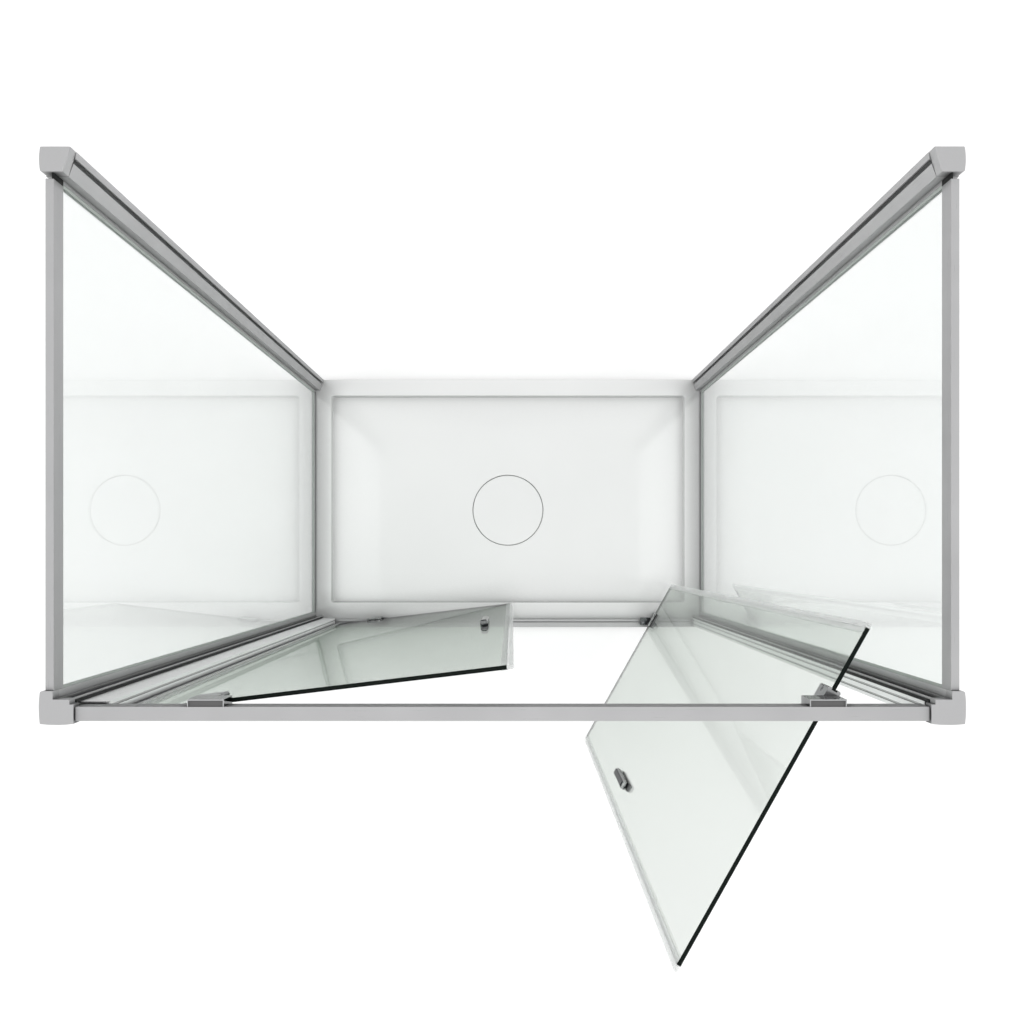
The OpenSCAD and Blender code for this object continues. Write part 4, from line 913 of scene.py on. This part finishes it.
# %% Bracket and clamp screws
BRACKET_SCREW_X = 0.018
BRACKET_HEAD_GAP = 0.00025
under_low, under_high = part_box("bracket_screws")
screw_row = (under_low.y + under_high.y) / 2
top_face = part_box("top_bracket_left")[0].z + BRACKET_HEAD_GAP
low_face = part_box("bottom_bracket_left")[1].z - BRACKET_HEAD_GAP
BRACKET_X = {
    side: sum(corner.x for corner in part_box("top_bracket_" + side)) / 2 for side in ("left", "right")
}
bracket_places = [
    ((BRACKET_X[side] + step, screw_row, face), (0.0, 0.0, look))
    for side in ("left", "right")
    for step in (-BRACKET_SCREW_X, BRACKET_SCREW_X)
    for face, look in ((top_face, -1.0), (low_face, 1.0))
]
drive_screws("bracket_screws", bracket_places, head_width=0.0075, head_height=0.0024,
             shank_width=0.004, length=0.0167, recess=CROSS)

CLAMP_SCREW_X, CLAMP_SCREW_FACE, CLAMP_SCREW_IN = 0.0155, 0.00925, 0.015
for side in ("left", "right"):
    glass_low, glass_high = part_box(side + "_door_glass")
    look = (on_door(side, 0.0, 1.0) - on_door(side, 0.0, 0.0)).normalized()
    places = [
        (on_door(side, along, CLAMP_SCREW_FACE, height), look)
        for along in (-CLAMP_SCREW_X, CLAMP_SCREW_X)
        for height in (glass_low.z + CLAMP_SCREW_IN, glass_high.z - CLAMP_SCREW_IN)
    ]
    drive_screws(side + "_clamp_screws", places, head_width=0.008, head_height=0.0026,
                 shank_width=0.005, length=0.0165, recess=HEXAGON)

# %% [markdown]
# ## Extruded seals
# A door seal is one section of soft plastic pushed over the edge of the glass: two legs, a base and a
# hollow bulb. It is cut from a long extrusion, so the tree fills the drawn section, holes and all, and
# extrudes it to the seal's height.

# %% The extrusion tree
strip_tree, strip_in, strip_out, strip_keys = new_grower("extruded_strip", [
    ("Foot", "Float"), ("Height", "Float"), ("Finish", "Material"),
])
outline = put(strip_tree, "GeometryNodeMeshToCurve")
closed = put(strip_tree, "GeometryNodeFillCurve")
raised = put(strip_tree, "GeometryNodeTransform")
foot = put(strip_tree, "ShaderNodeCombineXYZ")
pulled = put(strip_tree, "GeometryNodeExtrudeMesh", {"Offset": (0.0, 0.0, 1.0), "Individual": False})
turned = put(strip_tree, "GeometryNodeFlipFaces")
both_ends = put(strip_tree, "GeometryNodeJoinGeometry")
welded = put(strip_tree, "GeometryNodeMergeByDistance", {"Distance": 0.000001})
join(strip_tree, strip_in, "Geometry", outline, "Mesh")
join(strip_tree, outline, "Curve", closed, "Curve")
join(strip_tree, closed, "Mesh", raised, "Geometry")
join(strip_tree, strip_in, "Foot", foot, "Z")
join(strip_tree, foot, "Vector", raised, "Translation")
join(strip_tree, raised, "Geometry", pulled, "Mesh")
join(strip_tree, strip_in, "Height", pulled, "Offset Scale")
join(strip_tree, raised, "Geometry", turned, "Mesh")
join(strip_tree, pulled, "Mesh", both_ends, "Geometry")
join(strip_tree, turned, "Mesh", both_ends, "Geometry")
join(strip_tree, both_ends, "Geometry", welded, "Geometry")
finish_tree(strip_tree, (welded, "Geometry"), strip_in, strip_out)
print("extrusion tree nodes:", len(strip_tree.nodes))


# %% The seal's section
def bulb(start, end, half):
    """The round nose of a seal's bulb, from its lower side to its upper side."""
    arc = 10
    centre = end - half
    nose = [
        (centre + half * math.cos(turn), half * math.sin(turn))
        for turn in (math.pi * (step / arc - 0.5) for step in range(arc + 1))
    ]
    return [(start, -half), *nose, (start, half)]


def seal_section(fin):
    """Outer outline and hollow of a door seal, with the edge of the glass at zero."""
    leg, glass, wall = 0.008, 0.003, 0.001
    base = 2 * wall
    grip = glass + 0.00005
    outer = [(-leg, -grip - 0.6 * wall), (-leg + wall, -glass - wall), (base, -glass - wall)]
    outer += bulb(base, fin, glass)
    outer += [(base, glass + wall), (-leg + wall, glass + wall), (-leg, grip + 0.6 * wall)]
    outer += [(-leg, grip), (0.0, grip), (0.0, -grip), (-leg, -grip)]
    hollow = bulb(base + wall, fin - wall, glass - wall)
    return outer, hollow


def hang_seal(side, kind, edge, way, fin):
    """A door's seal at one edge of the glass, along its whole height."""
    node = f"{side}_{kind}_seal"
    low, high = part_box(node)
    points, edges = [], []
    for loop in seal_section(fin):
        first = len(points)
        points += [on_door(side, edge + way * along, through) for along, through in loop]
        edges += [(first + i, first + (i + 1) % len(loop)) for i in range(len(loop))]
    mesh = bpy.data.meshes.new(node)
    mesh.from_pydata(points, edges, [])
    piece = grow(node + "_strip", mesh, strip_tree, strip_keys, {
        "Foot": low.z, "Height": high.z - low.z, "Finish": finishes["clear_soft_plastic"],
    })
    return settle(piece, node)


LONG_GLASS, SHORT_GLASS = 0.404, 0.1152
MEETING_FIN, JAMB_FIN = 0.010, 0.008
for side in ("left", "right"):
    hang_seal(side, "meeting", LONG_GLASS, 1.0, MEETING_FIN)
    hang_seal(side, "jamb", -SHORT_GLASS, -1.0, JAMB_FIN)

# %% [markdown]
# ## Black strips in the jamb joints
# A thin black strip fills the joint between each jamb and the post it stands in: a dark strip that stands
# for the shade in that joint. It has a plain section, so the same tree extrudes it, from the threshold to
# the caps.

# %% Black strips behind the jambs, standing for painted shade
SHADE_STRIP_OUT, SHADE_STRIP_WIDTH, SHADE_STRIP_BEDDED, SHADE_STRIP_TAPER = 0.0018, 0.004, 0.0002, 0.0005
for side, inward in (("left", 1.0), ("right", -1.0)):
    jamb_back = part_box("jamb_" + side)[1].y
    post_low, post_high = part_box("front_post_" + side)
    post_face = post_high.x if side == "left" else post_low.x
    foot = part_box("jamb_" + side)[0].z
    inner, outer = post_face + inward * SHADE_STRIP_OUT, post_face - inward * SHADE_STRIP_BEDDED
    section = [
        (inner, jamb_back, 0.0), (inner - inward * SHADE_STRIP_TAPER, jamb_back + SHADE_STRIP_WIDTH, 0.0),
        (outer, jamb_back + SHADE_STRIP_WIDTH, 0.0), (outer, jamb_back, 0.0),
    ]
    if side == "right":
        section.reverse()
    mesh = bpy.data.meshes.new("jamb_gasket_" + side)
    mesh.from_pydata(section, [(i, (i + 1) % 4) for i in range(4)], [])
    shade_strip = grow("jamb_gasket_" + side, mesh, strip_tree, strip_keys, {
        "Foot": foot, "Height": post_high.z - foot, "Finish": finishes["glazing_rubber"],
    })
    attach(shade_strip, body_of_node["front_post_" + side])

# %% [markdown]
# ## Turned and moulded round parts
# The waste cover, the ring under it, the bushes and the pins are all round about an axis. A lathe tree
# takes a section as a line of points and turns it: a grid's columns are angles and its rows are points of
# the section. The result is placed on each given point, so one tree makes a single cover or four pins.

# %% The lathe tree
lathe_tree, lathe_in, lathe_out, lathe_keys = new_grower("turned_parts", [
    ("Section Points", "Int"), ("Sides", "Int"), ("Places", "Object"), ("Finish", "Material"),
])
sheet = put(lathe_tree, "GeometryNodeMeshGrid", {"Size X": 1.0, "Size Y": 1.0})
join(lathe_tree, lathe_in, "Sides", sheet, "Vertices X")
join(lathe_tree, lathe_in, "Section Points", sheet, "Vertices Y")
spot = put(lathe_tree, "GeometryNodeInputPosition")
parts = put(lathe_tree, "ShaderNodeSeparateXYZ")
join(lathe_tree, spot, "Position", parts, "Vector")
angle = put(lathe_tree, "ShaderNodeMapRange",
            {"From Min": -0.5, "From Max": 0.5, "To Min": 0.0, "To Max": 2.0 * math.pi})
join(lathe_tree, parts, "X", angle, "Value")
last_row = put(lathe_tree, "ShaderNodeMath", {1: 1.0}, operation="SUBTRACT")
join(lathe_tree, lathe_in, "Section Points", last_row, 0)
row = put(lathe_tree, "ShaderNodeMapRange", {"From Min": -0.5, "From Max": 0.5, "To Min": 0.0})
join(lathe_tree, parts, "Y", row, "Value")
join(lathe_tree, last_row, 0, row, "To Max")
nearest = put(lathe_tree, "ShaderNodeMath", operation="ROUND")
join(lathe_tree, row, "Result", nearest, 0)
section_spot = put(lathe_tree, "GeometryNodeInputPosition")
section = put(lathe_tree, "GeometryNodeSampleIndex", data_type="FLOAT_VECTOR")
join(lathe_tree, lathe_in, "Geometry", section, "Geometry")
join(lathe_tree, section_spot, "Position", section, "Value")
join(lathe_tree, nearest, 0, section, "Index")
section_parts = put(lathe_tree, "ShaderNodeSeparateXYZ")
join(lathe_tree, section, "Value", section_parts, "Vector")
cosine = put(lathe_tree, "ShaderNodeMath", operation="COSINE")
sine = put(lathe_tree, "ShaderNodeMath", operation="SINE")
join(lathe_tree, angle, "Result", cosine, 0)
join(lathe_tree, angle, "Result", sine, 0)
turned_x = put(lathe_tree, "ShaderNodeMath", operation="MULTIPLY")
turned_y = put(lathe_tree, "ShaderNodeMath", operation="MULTIPLY")
join(lathe_tree, section_parts, "X", turned_x, 0)
join(lathe_tree, cosine, 0, turned_x, 1)
join(lathe_tree, section_parts, "X", turned_y, 0)
join(lathe_tree, sine, 0, turned_y, 1)
turned_spot = put(lathe_tree, "ShaderNodeCombineXYZ")
join(lathe_tree, turned_x, 0, turned_spot, "X")
join(lathe_tree, turned_y, 0, turned_spot, "Y")
join(lathe_tree, section_parts, "Z", turned_spot, "Z")
wrapped = put(lathe_tree, "GeometryNodeSetPosition")
join(lathe_tree, sheet, "Mesh", wrapped, "Geometry")
join(lathe_tree, turned_spot, "Vector", wrapped, "Position")
sealed = put(lathe_tree, "GeometryNodeMergeByDistance", {"Distance": 0.000001})
join(lathe_tree, wrapped, "Geometry", sealed, "Geometry")
smooth = put(lathe_tree, "GeometryNodeSetShadeSmooth")
join(lathe_tree, sealed, "Geometry", smooth, "Geometry")
spots = put(lathe_tree, "GeometryNodeObjectInfo", transform_space="ORIGINAL")
join(lathe_tree, lathe_in, "Places", spots, "Object")
repeated = put(lathe_tree, "GeometryNodeInstanceOnPoints")
join(lathe_tree, spots, "Geometry", repeated, "Points")
join(lathe_tree, smooth, "Geometry", repeated, "Instance")
finish_tree(lathe_tree, (repeated, "Instances"), lathe_in, lathe_out)
print("lathe tree nodes:", len(lathe_tree.nodes))


# %% Turning a section
def turn_part(name, section, places, finish, sides=72):
    """A section of (radius, height) points, turned and placed at each point."""
    line = bpy.data.meshes.new(name + "_section")
    line.from_pydata([(radius, 0.0, height) for radius, height in section], [], [])
    spot_mesh = bpy.data.meshes.new(name + "_spots")
    spot_mesh.from_pydata(places, [], [])
    spot_object = bpy.data.objects.new(name + "_spots", spot_mesh)
    bpy.context.scene.collection.objects.link(spot_object)
    piece = grow(name, line, lathe_tree, lathe_keys, {
        "Section Points": len(section), "Sides": sides + 1, "Places": spot_object,
        "Finish": finishes[finish],
    })
    bpy.data.objects.remove(spot_object)
    face_out(piece.data)
    return piece


def face_out(mesh):
    """Turns every shell's faces outwards."""
    shell = bmesh.new()
    shell.from_mesh(mesh)
    bmesh.ops.recalc_face_normals(shell, faces=shell.faces)
    shell.to_mesh(mesh)
    shell.free()
    mesh.set_sharp_from_angle(angle=math.radians(35.0))


def round_corner(centre, radius, start, end, steps=4):
    """Points on an arc of a section, between two angles in degrees."""
    return [
        (centre[0] + radius * math.cos(math.radians(start + (end - start) * step / steps)),
         centre[1] + radius * math.sin(math.radians(start + (end - start) * step / steps)))
        for step in range(steps + 1)
    ]


def ring_section(inner, outer, low, high, ease):
    """The closed section of a ring with eased corners."""
    corners = [
        ((outer - ease, high - ease), 90.0, 0.0),
        ((outer - ease, low + ease), 0.0, -90.0),
        ((inner + ease, low + ease), 270.0, 180.0),
        ((inner + ease, high - ease), 180.0, 90.0),
    ]
    points = [point for centre, a, b in corners for point in round_corner(centre, ease, a, b, 2)]
    return points + points[:1]


def bar_section(radius, low, high, ease):
    """The section of a bar with eased ends, from its lower middle to its upper middle."""
    return [
        (0.0, low), *round_corner((radius - ease, low + ease), ease, -90.0, 0.0, 2),
        *round_corner((radius - ease, high - ease), ease, 0.0, 90.0, 2), (0.0, high),
    ]


# %% [markdown]
# ## Waste
# The cover is a shallow crowned disc with a rounded edge on four round feet, which leave room for the water
# to run under it. Its crown is one large arc, found from the radius and the rise. The flange ring below it
# clamps over the outlet, and the strainer is a thin pierced plate.

# %% Cover, feet and flange
cover_low, cover_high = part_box("waste_cover")
COVER_RADIUS, COVER_EDGE, COVER_CROWN = 0.106, 0.0045, 0.0015
EDGE_EASE = 0.0016
rim_top = cover_high.z - COVER_CROWN
underside = rim_top - COVER_EDGE
crown_radius = (COVER_RADIUS ** 2 + COVER_CROWN ** 2) / (2 * COVER_CROWN)


def crown_height(radius):
    """Height of the cover's top at a distance from its middle."""
    return rim_top + math.sqrt(crown_radius ** 2 - radius ** 2) - crown_radius + COVER_CROWN


CROWN_STEPS = 14
cover_section = [(0.0, underside)]
cover_section += round_corner((COVER_RADIUS - EDGE_EASE, underside + EDGE_EASE), EDGE_EASE, -90.0, 0.0)
cover_section += round_corner((COVER_RADIUS - EDGE_EASE, rim_top - EDGE_EASE), EDGE_EASE, 0.0, 85.0)
cover_section += [
    ((COVER_RADIUS - 1.5 * EDGE_EASE) * step / CROWN_STEPS,
     crown_height((COVER_RADIUS - 1.5 * EDGE_EASE) * step / CROWN_STEPS))
    for step in range(CROWN_STEPS, -1, -1)
]
disc = turn_part("waste_cover_disc", cover_section, [(0.0, 0.0, 0.0)], "white_gel_coat", sides=120)
FOOT_RING, FOOT_RADIUS = 0.0815, 0.005
feet_places = [
    (FOOT_RING * math.cos(turn), FOOT_RING * math.sin(turn), 0.0)
    for turn in (math.pi / 2 * step for step in range(4))
]
foot_section = bar_section(FOOT_RADIUS, cover_low.z, underside + 0.001, 0.0008)
feet = turn_part("waste_cover_feet", foot_section, feet_places, "white_gel_coat", sides=32)
settle(disc, "waste_cover")
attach(feet, "waste_cover")

flange_low, flange_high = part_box("waste_flange")
flange_section = ring_section(0.038, flange_high.x, flange_low.z, flange_high.z, 0.0005)
settle(turn_part("waste_flange_ring", flange_section, [(0.0, 0.0, 0.0)], "brushed_steel"), "waste_flange")
ease_edges("waste_strainer", "brushed_steel", 0.0003, segments=2)

# %% [markdown]
# ## Pivots
# Each door turns on two steel pins in nylon bushes. Pins have a small lead-in at each end so that they
# enter the bush, and bushes have a flat ring that the clamp rests on.

# %% Pins and bushes
PIN_LENGTH = 0.0237
pin_places = [
    (PIVOT_X[side], PIVOT_Y, height)
    for side in ("left", "right")
    for height in (pin_low.z, pin_high.z - PIN_LENGTH)
]
pins = turn_part("pivot_pins_turned", bar_section(PIN_RADIUS, 0.0, PIN_LENGTH, 0.0006), pin_places,
                 "brushed_steel", sides=40)
settle(pins, "pivot_pins")
BUSH_BORE, BUSH_RADIUS, BUSH_LENGTH = 0.00405, 0.006, 0.020
for side in ("left", "right"):
    node = side + "_pivot_bushes"
    low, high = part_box(node)
    places = [(PIVOT_X[side], PIVOT_Y, low.z), (PIVOT_X[side], PIVOT_Y, high.z - BUSH_LENGTH)]
    ring = ring_section(BUSH_BORE, BUSH_RADIUS, 0.0, BUSH_LENGTH, 0.0004)
    settle(turn_part(node + "_turned", ring, places, "natural_nylon", sides=40), node)

# %% [markdown]
# ## What stays as CAD made it
# The pads between clamp and glass and the studs in the handles are hidden but for their edges. Their solids
# have the right shape already, so they keep their own objects and only take a finish.

# %% Finishes on the remaining solids
FINISH_OF_SLOT = {"dark_rubber": "glazing_rubber", "stainless_steel": "brushed_steel"}
for node in sorted(waiting):
    mesh = nodes[node].data
    mesh.materials.clear()
    mesh.materials.append(finishes[FINISH_OF_SLOT[slot_of_node[node]]])
print("kept as CAD made them:", sorted(waiting))
